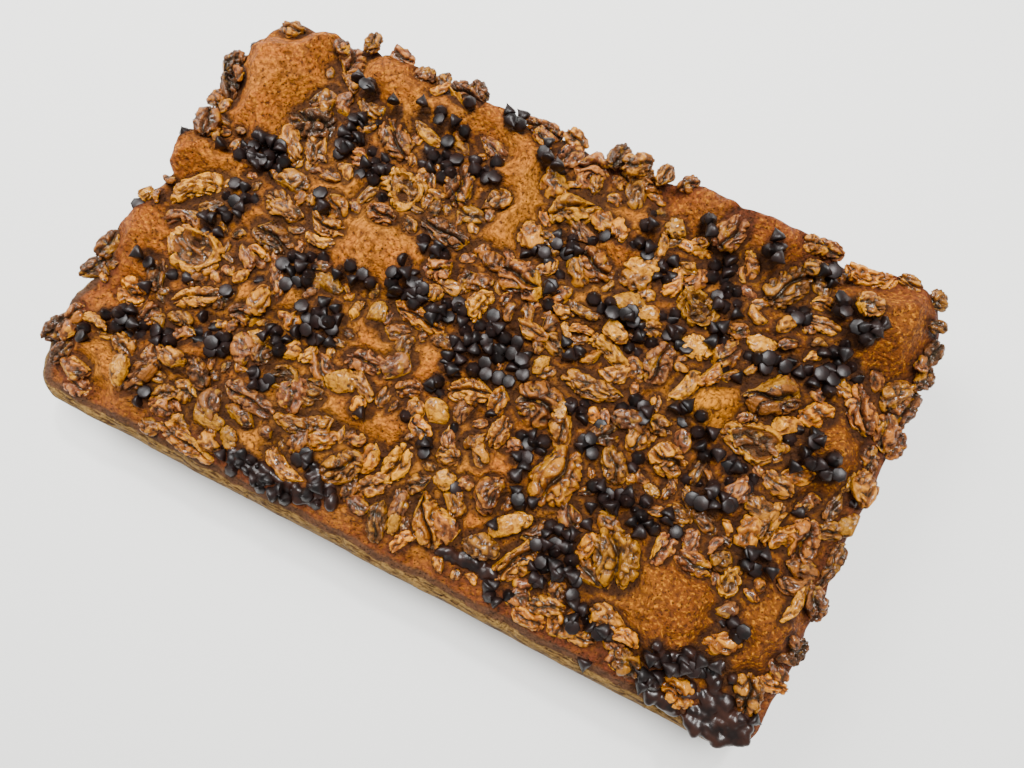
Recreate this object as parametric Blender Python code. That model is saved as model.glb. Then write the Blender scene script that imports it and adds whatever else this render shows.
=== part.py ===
"""Walnut and chocolate chip sponge, baked in an oblong tin and turned out whole.

The slab stands on z = 0 with its length along X and its front edge towards -Y.
Its top is a field of crust domes that rose between walnut pieces and drifts of
small chocolate chips. The large walnut pieces are separate solids, each lying
in a pocket of the slab; the small pieces and the chips are joined to the slab.
"""
import math
import random
from typing import NamedTuple

import bmesh
import bpy
import numpy as np
from mathutils import Euler, Matrix, Vector

MM = 0.001
SEED = 7

# The slab, in millimetres.
SLAB_LENGTH = 314.0
SLAB_WIDTH = 189.0
CORNER_RADIUS = 14.0
RIM_HEIGHT = 38.0
CROWN_RISE = 4.0
CROWN_RUN = 14.0
WALL_DRAFT = 3.0
BASE_ROUNDING = 1.5
EDGE_ROUNDING = 4.5
LEFT_END_SKEW = 7.0
FRONT_SKEW = 2.8
RIM_BULGE = 2.5
TOP_COLUMNS = 36
TOP_ROWS = 17
CORNER_STEPS = 3
WALL_LEVELS = (0.38, 0.80)

# The domes: how far they spread, how round they are, and how sharply two meet.
DOME_SPREAD = 1.15
DOME_ROUNDNESS = 0.6
DOME_MEETING = 4
FULL_BULGE_LIFT = 10.0

# The roughness of the crust: cell size and height of each grade of lump.
CRUST_GRADES = ((17.0, 1.6), (7.5, 1.1))
WALL_ROUGHNESS = 0.7
WALL_CELL = 9.0
NOISE_TABLE = 64

# Places are read as seen from above, in a level plane at SIGHT_HEIGHT whose
# zero lies SIGHT_ORIGIN_X left of the cake's middle, from the point EYE. What
# lies higher or lower than the plane is moved along its line of sight.
EYE = (56.7, -34.3, 340.0)
SIGHT_HEIGHT = 46.0
SIGHT_ORIGIN_X = 5.0
DOME_TOP = 49.0

# The walnut pieces.
WALNUT_GAP = 0.4
WALNUT_FOOT = -0.45
WALNUT_LOWEST = -0.7
WALNUT_ROUGHNESS = 0.07
WALNUT_GROOVE = 0.16
GROOVE_HALF_WIDTH = 0.3
POCKET_SIDES = 8
POCKET_REACH = 34.0
THICKNESS_RATIO = 0.62
SMALL_PIECE_ROUGHNESS = 0.14

# The chocolate chips.
CHIP_RADIUS = 3.2
CHIP_HEIGHT = 4.6
CHIP_SIDES = 6
CHIP_RINGS = ((0.92, 0.0), (0.86, 0.42))
CHIP_LEAN = 0.5
CHIP_SINK = 1.5
CHIP_SPACING = 6.1
CHIP_SHARE = 0.19
CHIP_TRIES = 40
PIECE_CLEARANCE = 0.9


class Dome(NamedTuple):
    """One rounded lump of crust: its place, its two half widths and its rise."""

    x: float
    y: float
    half_x: float
    half_y: float
    rise: float


class Piece(NamedTuple):
    """One walnut piece: place, length, width, turn about Z, tilt and lift."""

    x: float
    y: float
    length: float
    width: float
    yaw: float
    tilt: float = 0.0
    lift: float = 1.5


class Drift(NamedTuple):
    """One drift of chocolate chips: place, two half widths and their number."""

    x: float
    y: float
    half_x: float
    half_y: float
    count: int


DOMES = [
    # Back left.
    Dome(-133, 70, 13, 16, 13), Dome(-117, 84, 12, 10, 13), Dome(-125, 52, 17, 14, 13),
    Dome(-80, 84, 19, 13, 12), Dome(-38, 86, 20, 9, 11), Dome(-14, 76, 14, 13, 10),
    Dome(-8, 56, 10, 18, 8),
    # Back right.
    Dome(35, 74, 9, 8, 7), Dome(36, 60, 10, 6, 6), Dome(58, 90, 15, 12, 13),
    Dome(88, 90, 18, 13, 14), Dome(140, 82, 17, 19, 13), Dome(143, 68, 11, 10, 11),
    Dome(108, 58, 16, 5, 6),
    # Left end.
    Dome(-141, 20, 15, 12, 12), Dome(-151, 19, 6, 6, 6), Dome(-127, 24, 10, 7, 9),
    Dome(-145, -20, 15, 16, 11), Dome(-150, -55, 12, 10, 8), Dome(-135, -73, 18, 8, 9),
    Dome(-120, -83, 9, 8, 6), Dome(-108, 5, 7, 6, 4),
    # Middle.
    Dome(-88, 30, 12, 6, 6), Dome(-54, 17, 20, 15, 9), Dome(-76, 36, 8, 6, 5),
    Dome(-100, -58, 8, 8, 6), Dome(-36, -15, 10, 7, 5), Dome(-13, -15, 7, 9, 5),
    Dome(-73, -16, 9, 6, 4), Dome(-93, -22, 9, 6, 4), Dome(-77, -44, 7, 5, 4),
    Dome(8, 21, 6, 4, 3), Dome(31, 37, 9, 6, 5), Dome(67, -4, 8, 5, 4),
    Dome(87, -24, 7, 6, 4), Dome(103, 0, 7, 5, 4), Dome(120, -10, 6, 8, 4),
    # Right end.
    Dome(93, 21, 10, 11, 10), Dome(141, 26, 11, 15, 11), Dome(143, 10, 7, 6, 6),
    Dome(143, -25, 8, 6, 5), Dome(147, -46, 11, 18, 9), Dome(110, -57, 24, 17, 11),
    # Front.
    Dome(34, -64, 7, 7, 7), Dome(30, -42, 12, 8, 6), Dome(-18, -45, 13, 9, 7),
    Dome(-35, -45, 10, 6, 5), Dome(-60, -72, 8, 7, 5), Dome(-15, -80, 12, 7, 4),
    Dome(30, -83, 28, 4, 2),
]

WALNUTS = [
    # Back left.
    Piece(-99, 82, 18, 13, 105, 10), Piece(-101, 53, 22, 18, 0, -8),
    Piece(-142, 53, 20, 10, -60, 18, 0.5), Piece(-49, 91, 17, 12, 0, 8),
    Piece(-12, 91, 21, 9, 0, 6), Piece(-67, 62, 24, 12, -35, -8),
    Piece(-33, 55, 18, 13, 110, 6), Piece(-53, 44, 21, 16, -15, 5),
    Piece(-29, 35, 24, 11, -5, -6),
    # Back right.
    Piece(11, 85, 15, 13, 20, 5), Piece(33, 90, 16, 12, 0, 8),
    Piece(13, 67, 24, 14, 40, 6), Piece(30, 49, 20, 13, -15, -6),
    Piece(72, 84, 20, 13, 80, 6), Piece(73, 51, 19, 15, -30, 5),
    Piece(79, 37, 13, 11, 0, 4), Piece(100, 74, 24, 15, 60, 8),
    Piece(126, 91, 22, 10, 8, 5), Piece(157, 52, 24, 11, 88, 12, 0.0),
    Piece(143, 42, 22, 12, -60, -8),
    # Left of the middle.
    Piece(-130, 8, 28, 13, 42, 8), Piece(-118, -16, 25, 20, 0, 0),
    Piece(-92, 3, 22, 12, -10, 6), Piece(-108, -33, 23, 10, 33, -5),
    Piece(-86, -30, 15, 11, 20, 6), Piece(-75, 17, 19, 10, 0, 5),
    Piece(-56, 31, 14, 9, 0, 4), Piece(-24, 21, 15, 11, 20, 5),
    Piece(-3, 15, 17, 12, 80, -5), Piece(-23, 0, 24, 9, 0, 5),
    Piece(-33, -25, 20, 10, 10, -4),
    # Right of the middle.
    Piece(8, 32, 23, 16, 0, 6), Piece(50, 21, 22, 10, -15, 5),
    Piece(50, 6, 27, 12, 5, -6), Piece(69, 25, 19, 12, 90, 5),
    Piece(36, -9, 23, 19, 0, 8), Piece(11, -16, 22, 12, 25, -5),
    Piece(54, -31, 26, 19, 85, 5), Piece(112, 33, 23, 16, 20, 6),
    Piece(114, 14, 26, 15, 5, 0), Piece(88, -6, 15, 13, 0, 5),
    Piece(131, -10, 18, 10, 80, 8), Piece(144, -11, 19, 13, 90, -6),
    Piece(157, -14, 22, 8, 87, 4, 0.5),
    # Front left.
    Piece(-133, -43, 14, 13, 0, 6), Piece(-113, -68, 27, 13, 78, -5),
    Piece(-82, -85, 26, 9, -8, 6), Piece(-68, -59, 26, 10, -5, 5),
    Piece(-60, -45, 14, 11, 10, 0), Piece(-42, -57, 26, 11, 25, 8),
    Piece(-22, -66, 18, 13, 50, -4),
    # Front right.
    Piece(-3, -54, 19, 12, 80, 4), Piece(18, -68, 24, 12, -50, 6),
    Piece(54, -66, 22, 13, 60, -5), Piece(87, -48, 26, 19, -60, 6),
    Piece(149, -68, 17, 13, -70, 8), Piece(127, -79, 14, 12, 0, 5),
]

SMALL_PIECES = [
    # Back.
    Piece(-130, 86, 13, 9, 10), Piece(-84, 94, 14, 7, -5), Piece(-23, 46, 14, 9, 0),
    Piece(-76, 48, 10, 9, 0), Piece(47, 56, 14, 9, 20), Piece(62, 63, 10, 9, 0),
    Piece(48, 42, 14, 9, 0), Piece(118, 66, 15, 7, 0), Piece(130, 81, 12, 10, 0),
    Piece(101, 49, 13, 9, 0), Piece(52, 77, 10, 9, 0), Piece(153, 28, 12, 8, -70),
    # Middle.
    Piece(-98, 18, 13, 9, 0), Piece(-44, 32, 9, 7, -30), Piece(-38, -6, 12, 8, 90),
    Piece(-62, -4, 14, 9, 0), Piece(28, 27, 12, 8, 20), Piece(24, 11, 12, 7, 0),
    Piece(80, 4, 11, 8, 0), Piece(71, -17, 14, 10, -50), Piece(103, -16, 13, 7, -30),
    Piece(27, -25, 13, 9, 90), Piece(2, -30, 12, 9, 0), Piece(149, 6, 15, 6, 80),
    Piece(113, -36, 14, 9, 0), Piece(127, -36, 14, 8, 95), Piece(152, -32, 14, 6, 80),
    # Front.
    Piece(-141, -60, 14, 6, -5), Piece(-93, -68, 12, 10, 0), Piece(-134, -86, 13, 10, 0),
    Piece(-148, -77, 14, 8, 80), Piece(-38, -36, 15, 10, 0), Piece(-42, -76, 20, 8, -20),
    Piece(0, -77, 16, 9, -65), Piece(14, -45, 12, 9, 0), Piece(68, -83, 13, 8, 0),
    Piece(107, -79, 12, 10, 0), Piece(88, -78, 11, 7, 20), Piece(-79, -73, 16, 8, 0),
]

DRIFTS = [
    Drift(-113, 32, 12, 7, 22), Drift(-114, 10, 8, 8, 8), Drift(-84, 54, 6, 10, 12),
    Drift(-70, 48, 9, 7, 8), Drift(-45, 63, 10, 8, 9), Drift(-27, 66, 8, 5, 6),
    Drift(-2, 80, 6, 6, 5), Drift(17, 52, 8, 4, 6), Drift(48, 36, 12, 4, 9),
    Drift(60, 29, 5, 5, 4), Drift(74, 69, 5, 6, 6), Drift(42, 77, 4, 6, 4),
    Drift(56, 60, 5, 7, 5), Drift(83, 60, 6, 5, 7), Drift(90, 82, 4, 4, 3),
    Drift(132, 60, 7, 8, 9), Drift(118, 47, 12, 4, 8), Drift(127, 22, 5, 7, 6),
    Drift(-130, -55, 9, 5, 9), Drift(-94, -45, 8, 5, 8), Drift(-75, -4, 9, 8, 10),
    Drift(-57, -19, 9, 9, 14), Drift(-34, 10, 6, 6, 8), Drift(-20, 9, 14, 6, 10),
    Drift(10, 2, 16, 9, 24), Drift(36, 15, 5, 4, 4), Drift(68, 8, 6, 5, 6),
    Drift(97, 5, 6, 4, 4), Drift(106, -10, 9, 6, 12), Drift(73, -31, 6, 6, 8),
    Drift(40, -28, 5, 5, 6), Drift(65, -52, 8, 12, 18), Drift(98, -27, 9, 4, 6),
    Drift(133, -27, 6, 6, 6), Drift(-22, -38, 10, 4, 4), Drift(-60, -80, 9, 6, 10),
    Drift(-42, -86, 12, 5, 12), Drift(-25, -79, 5, 4, 5), Drift(133, -66, 9, 9, 14),
    Drift(143, -82, 9, 6, 12), Drift(90, -73, 8, 5, 7), Drift(40, -78, 9, 4, 5),
]

SPONGE_COLOUR = (0.50, 0.22, 0.07)
WALNUT_COLOUR = (0.42, 0.22, 0.09)


def sighted(x, y, height):
    """Give the true place, in mm, of what is seen at x, y and is height up."""
    shrink = (EYE[2] - height) / (EYE[2] - SIGHT_HEIGHT)
    seen_x = x - SIGHT_ORIGIN_X
    return EYE[0] + (seen_x - EYE[0]) * shrink, EYE[1] + (y - EYE[1]) * shrink


def lump_noise(x, y, cell, seed):
    """Give smooth noise from -1 to 1 whose lumps are one cell apart."""
    table = np.random.default_rng(seed).uniform(-1.0, 1.0, (NOISE_TABLE, NOISE_TABLE))
    across = np.asarray(x, dtype=float) / cell
    along = np.asarray(y, dtype=float) / cell
    left = np.floor(across).astype(int)
    low = np.floor(along).astype(int)
    mix_x = across - left
    mix_y = along - low
    mix_x = mix_x * mix_x * (3.0 - 2.0 * mix_x)
    mix_y = mix_y * mix_y * (3.0 - 2.0 * mix_y)

    def corner(step_x, step_y):
        return table[(left + step_x) % NOISE_TABLE, (low + step_y) % NOISE_TABLE]

    near = corner(0, 0) * (1.0 - mix_x) + corner(1, 0) * mix_x
    far = corner(0, 1) * (1.0 - mix_x) + corner(1, 1) * mix_x
    return near * (1.0 - mix_y) + far * mix_y


def skew_shift(x, y):
    """Give how far the tin's uneven sides move a point, along X and Y."""
    to_left = 0.5 - x / SLAB_LENGTH
    to_front = 0.5 - y / SLAB_WIDTH
    shift_x = LEFT_END_SKEW * (2.0 * y / SLAB_WIDTH) * to_left
    shift_y = FRONT_SKEW * (2.0 * x / SLAB_LENGTH) * to_front
    return shift_x, shift_y


def edge_distance(x, y):
    """Give the distance inwards from the slab's rounded rectangle."""
    shift_x, shift_y = skew_shift(x, y)
    over_x = np.abs(x - shift_x) - (SLAB_LENGTH / 2 - CORNER_RADIUS)
    over_y = np.abs(y - shift_y) - (SLAB_WIDTH / 2 - CORNER_RADIUS)
    outside = np.hypot(np.maximum(over_x, 0.0), np.maximum(over_y, 0.0))
    inside = np.minimum(np.maximum(over_x, over_y), 0.0)
    return CORNER_RADIUS - outside - inside


def dome_lift(x, y):
    """Give how far the crust domes raise the top at x, y."""
    total = np.zeros_like(np.asarray(x, dtype=float))
    for dome in DOMES:
        centre_x, centre_y = sighted(dome.x, dome.y, DOME_TOP)
        reach = ((x - centre_x) / dome.half_x) ** 2 + ((y - centre_y) / dome.half_y) ** 2
        lift = dome.rise * np.maximum(0.0, DOME_SPREAD - reach) ** DOME_ROUNDNESS
        total = total + lift ** DOME_MEETING
    return total ** (1.0 / DOME_MEETING)


def crust_height(x, y):
    """Give the height of the bare crust above the table at x, y."""
    inset = np.maximum(edge_distance(x, y), 0.0)
    height = RIM_HEIGHT + CROWN_RISE * (1.0 - np.exp(-inset / CROWN_RUN))
    height = height + dome_lift(x, y)
    for grade, (cell, rise) in enumerate(CRUST_GRADES):
        height = height + rise * lump_noise(x, y, cell, SEED + grade)
    short = np.maximum(EDGE_ROUNDING - inset, 0.0)
    return height - (EDGE_ROUNDING - np.sqrt(EDGE_ROUNDING ** 2 - short ** 2))


def row_places():
    """Give the Y of each row of the top and the half length of the slab there."""
    straight = SLAB_WIDTH / 2 - CORNER_RADIUS
    rows = []
    for step in range(CORNER_STEPS):
        angle = math.radians(90.0) * step / CORNER_STEPS
        half = SLAB_LENGTH / 2 - CORNER_RADIUS + CORNER_RADIUS * math.sin(angle)
        rows.append((straight + CORNER_RADIUS * math.cos(angle), half))
    middle = [straight * (1.0 - 2.0 * i / TOP_ROWS) for i in range(TOP_ROWS + 1)]
    back = rows
    front = [(-y, half) for y, half in reversed(rows)]
    return back + [(y, SLAB_LENGTH / 2) for y in middle] + front


def edge_loop(row_count):
    """Give the grid places of the top's outline, anticlockwise from above."""
    last_row = row_count - 1
    loop = [(last_row, column) for column in range(TOP_COLUMNS)]
    loop += [(row, TOP_COLUMNS) for row in range(last_row, 0, -1)]
    loop += [(0, column) for column in range(TOP_COLUMNS, 0, -1)]
    loop += [(row, 0) for row in range(0, last_row)]
    return loop


def bulged(x, y):
    """Move a point of the rim outwards where a dome swells over the edge."""
    lift = float(dome_lift(x, y))
    near = max(0.0, 1.0 - float(edge_distance(x, y)) / (2.0 * EDGE_ROUNDING))
    push = RIM_BULGE * near * min(1.0, lift / FULL_BULGE_LIFT)
    outward = Vector((x / SLAB_LENGTH, y / SLAB_WIDTH))
    side = Vector((math.copysign(1.0, x), 0.0))
    if abs(outward.y) > abs(outward.x) - (CORNER_RADIUS / SLAB_LENGTH):
        side = Vector((0.0, math.copysign(1.0, y)))
    return x + side.x * push, y + side.y * push


def slab_mesh():
    """Build the bare slab: lumpy top, drafted walls and a flat underside."""
    mesh = bmesh.new()
    rows = row_places()
    top = []
    for y, half in rows:
        line = []
        for column in range(TOP_COLUMNS + 1):
            x = half * (2.0 * column / TOP_COLUMNS - 1.0)
            shift_x, shift_y = skew_shift(x, y)
            true_x, true_y = x + shift_x, y + shift_y
            height = float(crust_height(true_x, true_y))
            out_x, out_y = bulged(true_x, true_y)
            line.append(mesh.verts.new((out_x * MM, out_y * MM, height * MM)))
        top.append(line)
    for row in range(len(rows) - 1):
        for column in range(TOP_COLUMNS):
            corners = (top[row][column], top[row + 1][column])
            corners += (top[row + 1][column + 1], top[row][column + 1])
            mesh.faces.new(corners)
    rim = [top[row][column] for row, column in edge_loop(len(rows))]
    upper = rim
    for level in reversed(WALL_LEVELS):
        upper = add_wall_loop(mesh, rim, upper, level)
    lower = add_wall_loop(mesh, rim, upper, 0.0, BASE_ROUNDING)
    base = add_wall_loop(mesh, rim, lower, 0.0, 0.0, BASE_ROUNDING)
    mesh.faces.new(list(reversed(base)))
    bmesh.ops.triangulate(mesh, faces=mesh.faces[:])
    bmesh.ops.recalc_face_normals(mesh, faces=mesh.faces[:])
    return mesh


def add_wall_loop(mesh, rim, upper, level, lowest=0.0, tuck=0.0):
    """Add one loop of the wall below the last one and the faces between."""
    loop = []
    for vertex in rim:
        x, y, height = (value / MM for value in vertex.co)
        lumps = float(lump_noise(x + y, level * height, WALL_CELL, SEED)) if level else 0.0
        inset = WALL_DRAFT * (1.0 - level) + WALL_ROUGHNESS * lumps + tuck
        scale_x = 1.0 - inset / (SLAB_LENGTH / 2)
        scale_y = 1.0 - inset / (SLAB_WIDTH / 2)
        z = max(lowest, level * height)
        loop.append(mesh.verts.new((x * scale_x * MM, y * scale_y * MM, z * MM)))
    for index, vertex in enumerate(loop):
        following = (index + 1) % len(loop)
        mesh.faces.new((vertex, loop[following], upper[following], upper[index]))
    return loop


def piece_matrix(piece, sink=0.0):
    """Give the turn and place of a walnut piece lying on the crust."""
    seen_x, seen_y = piece.x - SIGHT_ORIGIN_X, piece.y
    height = max(RIM_HEIGHT, float(crust_height(seen_x, seen_y)))
    x, y = sighted(piece.x, piece.y, height)
    turn = Euler((math.radians(piece.tilt), math.radians(piece.tilt / 2), 0.0)).to_matrix()
    yaw = Matrix.Rotation(math.radians(piece.yaw), 4, "Z")
    place = Matrix.Translation((x * MM, y * MM, (height + piece.lift - sink) * MM))
    return place @ yaw @ turn.to_4x4()


def walnut_mesh(piece, rng):
    """Build a walnut piece: two rough lobes and a groove, flat underneath."""
    mesh = bmesh.new()
    bmesh.ops.create_icosphere(mesh, subdivisions=2, radius=1.0)
    half = (piece.length / 2, piece.width / 2, piece.width * THICKNESS_RATIO / 2)
    foot = [vertex for vertex in mesh.verts if vertex.co.z < WALNUT_LOWEST]
    for vertex in mesh.verts:
        x, y, z = vertex.co
        swell = 1.0 - rng.uniform(0.0, WALNUT_ROUGHNESS)
        if z > GROOVE_HALF_WIDTH and abs(y) < GROOVE_HALF_WIDTH:
            swell -= WALNUT_GROOVE
        if z < WALNUT_FOOT:
            vertex.co = Vector((x * half[0], y * half[1], WALNUT_FOOT * half[2])) * MM
        else:
            vertex.co = Vector((x * half[0], y * half[1], z * half[2])) * swell * MM
    bmesh.ops.dissolve_verts(mesh, verts=foot)
    bmesh.ops.triangulate(mesh, faces=mesh.faces[:])
    bmesh.ops.transform(mesh, matrix=piece_matrix(piece), verts=mesh.verts[:])
    return mesh


def pocket_mesh(piece):
    """Build the cutter of a walnut's pocket: a prism round it, open upwards."""
    outward = 1.0 / math.cos(math.pi / POCKET_SIDES)
    half_length = (piece.length / 2 + WALNUT_GAP) * outward
    half_width = (piece.width / 2 + WALNUT_GAP) * outward
    floor = WALNUT_FOOT * piece.width * THICKNESS_RATIO / 2 - WALNUT_GAP
    mesh = bmesh.new()
    ring = []
    for side in range(POCKET_SIDES):
        angle = 2.0 * math.pi * (side + 0.5) / POCKET_SIDES
        place = (half_length * math.cos(angle), half_width * math.sin(angle), floor)
        ring.append(mesh.verts.new(Vector(place) * MM))
    base = mesh.faces.new(ring)
    raised = bmesh.ops.extrude_face_region(mesh, geom=[base])
    lid = [item for item in raised["geom"] if isinstance(item, bmesh.types.BMVert)]
    bmesh.ops.translate(mesh, verts=lid, vec=(0.0, 0.0, POCKET_REACH * MM))
    bmesh.ops.recalc_face_normals(mesh, faces=mesh.faces[:])
    bmesh.ops.transform(mesh, matrix=piece_matrix(piece), verts=mesh.verts[:])
    return mesh


def small_piece_mesh(piece, rng):
    """Build a small walnut piece of 20 faces, sunk a little into the crust."""
    mesh = bmesh.new()
    bmesh.ops.create_icosphere(mesh, subdivisions=1, radius=1.0)
    half = (piece.length / 2, piece.width / 2, piece.width * THICKNESS_RATIO / 2)
    for vertex in mesh.verts:
        swell = 1.0 - rng.uniform(0.0, SMALL_PIECE_ROUGHNESS)
        x, y, z = vertex.co
        vertex.co = Vector((x * half[0], y * half[1], z * half[2])) * swell * MM
    bmesh.ops.transform(mesh, matrix=piece_matrix(piece, piece.lift), verts=mesh.verts[:])
    return mesh


def chip_mesh(x, y, rng):
    """Build a chocolate chip: a low cone with a full base and a drawn-up tip."""
    mesh = bmesh.new()
    height = float(crust_height(x, y)) - CHIP_SINK
    radius = CHIP_RADIUS * rng.uniform(0.88, 1.06)
    rings = []
    for width, rise in CHIP_RINGS:
        ring = []
        for side in range(CHIP_SIDES):
            angle = 2.0 * math.pi * side / CHIP_SIDES
            reach = radius * width * MM
            place = (reach * math.cos(angle), reach * math.sin(angle), CHIP_HEIGHT * rise * MM)
            ring.append(mesh.verts.new(place))
        rings.append(ring)
    tip = mesh.verts.new((0.0, 0.0, CHIP_HEIGHT * MM))
    mesh.faces.new(list(reversed(rings[0])))
    for side in range(CHIP_SIDES):
        following = (side + 1) % CHIP_SIDES
        for lower, upper in zip(rings, rings[1:]):
            mesh.faces.new((lower[side], lower[following], upper[following], upper[side]))
        mesh.faces.new((rings[-1][side], rings[-1][following], tip))
    bmesh.ops.triangulate(mesh, faces=mesh.faces[:])
    lean = Euler((rng.uniform(-CHIP_LEAN, CHIP_LEAN), rng.uniform(-CHIP_LEAN, CHIP_LEAN), 0.0))
    place = Matrix.Translation((x * MM, y * MM, height * MM)) @ lean.to_matrix().to_4x4()
    bmesh.ops.transform(mesh, matrix=place, verts=mesh.verts[:])
    return mesh


def clears(x, y, piece, margin):
    """Tell whether a point lies outside a piece's outline grown by a margin."""
    centre = piece_matrix(piece).translation / MM
    yaw = math.radians(piece.yaw)
    away_x, away_y = x - centre.x, y - centre.y
    along = away_x * math.cos(yaw) + away_y * math.sin(yaw)
    across = away_y * math.cos(yaw) - away_x * math.sin(yaw)
    reach = (along / (piece.length / 2 + margin)) ** 2
    return reach + (across / (piece.width / 2 + margin)) ** 2 > 1.0


def chip_places(rng):
    """Scatter the chips in their drifts, clear of the pieces and each other."""
    places = []
    for drift in DRIFTS:
        wanted = max(1, round(drift.count * CHIP_SHARE))
        placed = 0
        for _ in range(CHIP_TRIES):
            if placed == wanted:
                break
            angle = rng.uniform(0.0, 2.0 * math.pi)
            reach = math.sqrt(rng.random())
            seen_x = drift.x + drift.half_x * reach * math.cos(angle)
            seen_y = drift.y + drift.half_y * reach * math.sin(angle)
            x, y = sighted(seen_x, seen_y, RIM_HEIGHT + CROWN_RISE)
            margin = CHIP_RADIUS + PIECE_CLEARANCE
            if float(edge_distance(x, y)) < EDGE_ROUNDING:
                continue
            if not all(clears(x, y, piece, margin) for piece in WALNUTS):
                continue
            if not all(clears(x, y, piece, 0.0) for piece in SMALL_PIECES):
                continue
            if any(math.hypot(x - a, y - b) < CHIP_SPACING for a, b in places):
                continue
            places.append((x, y))
            placed += 1
    return places


def material(name, colour, roughness):
    """Make one plain material."""
    made = bpy.data.materials.new(name)
    made.use_nodes = True
    shader = made.node_tree.nodes["Principled BSDF"]
    shader.inputs["Base Color"].default_value = (*colour, 1.0)
    shader.inputs["Roughness"].default_value = roughness
    shader.inputs["Metallic"].default_value = 0.0
    return made


def add_object(name, mesh, finish, collection=None):
    """Turn a bmesh into an object of the scene or of a collection."""
    data = bpy.data.meshes.new(name)
    mesh.to_mesh(data)
    mesh.free()
    made = bpy.data.objects.new(name, data)
    data.materials.append(finish)
    (collection or bpy.context.scene.collection).objects.link(made)
    return made


def add_tool(name, mesh, finish, collection):
    """Add a body that a Boolean uses and that is removed afterwards."""
    tool = add_object(name, mesh, finish, collection)
    tool.hide_render = True
    tool.display_type = "WIRE"
    return tool


def apply_boolean(target, collection, operation):
    """Cut a collection's bodies from the target, or join them to it."""
    boolean = target.modifiers.new(operation.title(), "BOOLEAN")
    boolean.operation = operation
    boolean.operand_type = "COLLECTION"
    boolean.collection = collection
    boolean.solver = "MANIFOLD"
    bpy.context.view_layer.objects.active = target
    bpy.ops.object.modifier_apply(modifier=boolean.name)
    for tool in list(collection.objects):
        bpy.data.objects.remove(tool)
    bpy.data.collections.remove(collection)


def drop_loose_scraps(target):
    """Keep only the largest of the bodies in an object's mesh."""
    mesh = bmesh.new()
    mesh.from_mesh(target.data)
    unseen = set(mesh.verts)
    bodies = []
    while unseen:
        body = {unseen.pop()}
        front = list(body)
        while front:
            vertex = front.pop()
            near = {edge.other_vert(vertex) for edge in vertex.link_edges} - body
            body |= near
            front.extend(near)
        unseen -= body
        bodies.append(body)
    bodies.sort(key=len)
    scraps = [vertex for body in bodies[:-1] for vertex in body]
    bmesh.ops.delete(mesh, geom=scraps, context="VERTS")
    mesh.to_mesh(target.data)
    mesh.free()


def tool_collection(name):
    """Make a collection for the bodies of one Boolean."""
    collection = bpy.data.collections.new(name)
    bpy.context.scene.collection.children.link(collection)
    return collection


def build():
    """Model the cake."""
    for old in list(bpy.data.objects):
        bpy.data.objects.remove(old)
    sponge = material("sponge", SPONGE_COLOUR, 0.9)
    slab = add_object("sponge_slab", slab_mesh(), sponge)

    pockets = tool_collection("pockets")
    for number, piece in enumerate(WALNUTS, start=1):
        name = f"walnut_{number:02d}"
        kernel = walnut_mesh(piece, random.Random(SEED + number))
        add_tool(name + "_pocket", pocket_mesh(piece), sponge, pockets)
        add_object(name, kernel, material(name, WALNUT_COLOUR, 0.6))
    apply_boolean(slab, pockets, "DIFFERENCE")

    rng = random.Random(SEED)
    toppings = tool_collection("toppings")
    for number, piece in enumerate(SMALL_PIECES, start=1):
        add_tool(f"piece_{number:02d}", small_piece_mesh(piece, rng), sponge, toppings)
    for number, (x, y) in enumerate(chip_places(rng), start=1):
        add_tool(f"chip_{number:03d}", chip_mesh(x, y, rng), sponge, toppings)
    apply_boolean(slab, toppings, "UNION")
    drop_loose_scraps(slab)


build()
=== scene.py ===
"""Looks of a walnut and chocolate chip sponge, baked in an oblong tin.

The slab's crust is a finely meshed skin over the solid's domes, with dough risen
between some of them. The walnut pieces are folded kernels in the solids' places.
The chips lie in drifts, piled on each other, and where they melted they run together.
"""
from __future__ import annotations

import logging
import math
import random
from dataclasses import dataclass, field
from enum import Enum
from typing import NamedTuple

import bpy
import numpy as np
from mathutils import Euler, Matrix, Vector

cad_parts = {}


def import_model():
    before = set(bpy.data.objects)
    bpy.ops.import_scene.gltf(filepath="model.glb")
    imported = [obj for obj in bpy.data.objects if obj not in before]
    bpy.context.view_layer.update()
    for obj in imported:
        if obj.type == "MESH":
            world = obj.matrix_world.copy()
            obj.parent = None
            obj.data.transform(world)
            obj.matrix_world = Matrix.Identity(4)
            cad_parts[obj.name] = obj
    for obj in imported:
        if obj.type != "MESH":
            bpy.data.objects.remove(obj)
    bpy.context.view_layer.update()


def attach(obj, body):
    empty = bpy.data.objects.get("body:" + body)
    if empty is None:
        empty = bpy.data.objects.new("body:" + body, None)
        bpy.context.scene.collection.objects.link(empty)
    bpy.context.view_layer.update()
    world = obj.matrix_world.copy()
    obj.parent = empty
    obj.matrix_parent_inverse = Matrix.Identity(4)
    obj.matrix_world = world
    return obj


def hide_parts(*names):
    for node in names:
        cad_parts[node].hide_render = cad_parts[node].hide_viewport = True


LOG = logging.getLogger("cake")
MM = 0.001
SEED = 7
BODY = "root"

# The distance, in millimetres, that stands for nothing near.
FAR = 99.0

# Lengths below this, in metres, count as none.
WELD = 0.00001

# The turns of scattered things are drawn up to this, in radians.
FULL_TURN = 6.28

# Brings the gradient noise to about -1 to 1.
NOISE_GAIN = 1.6

# The Mix node's inputs and its output where it mixes colours.
MIX_SHARE = 0
MIX_UNDER = 6
MIX_OVER = 7
MIX_RESULT = 2

Array = np.ndarray
Material = bpy.types.Material
Socket = bpy.types.NodeSocket
Tree = bpy.types.NodeTree


class Cut(Enum):
    """The ways in which a walnut kernel breaks."""

    HALF = "half"
    OPEN = "open"
    BAR = "bar"
    SLICE = "slice"
    NUB = "nub"


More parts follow.
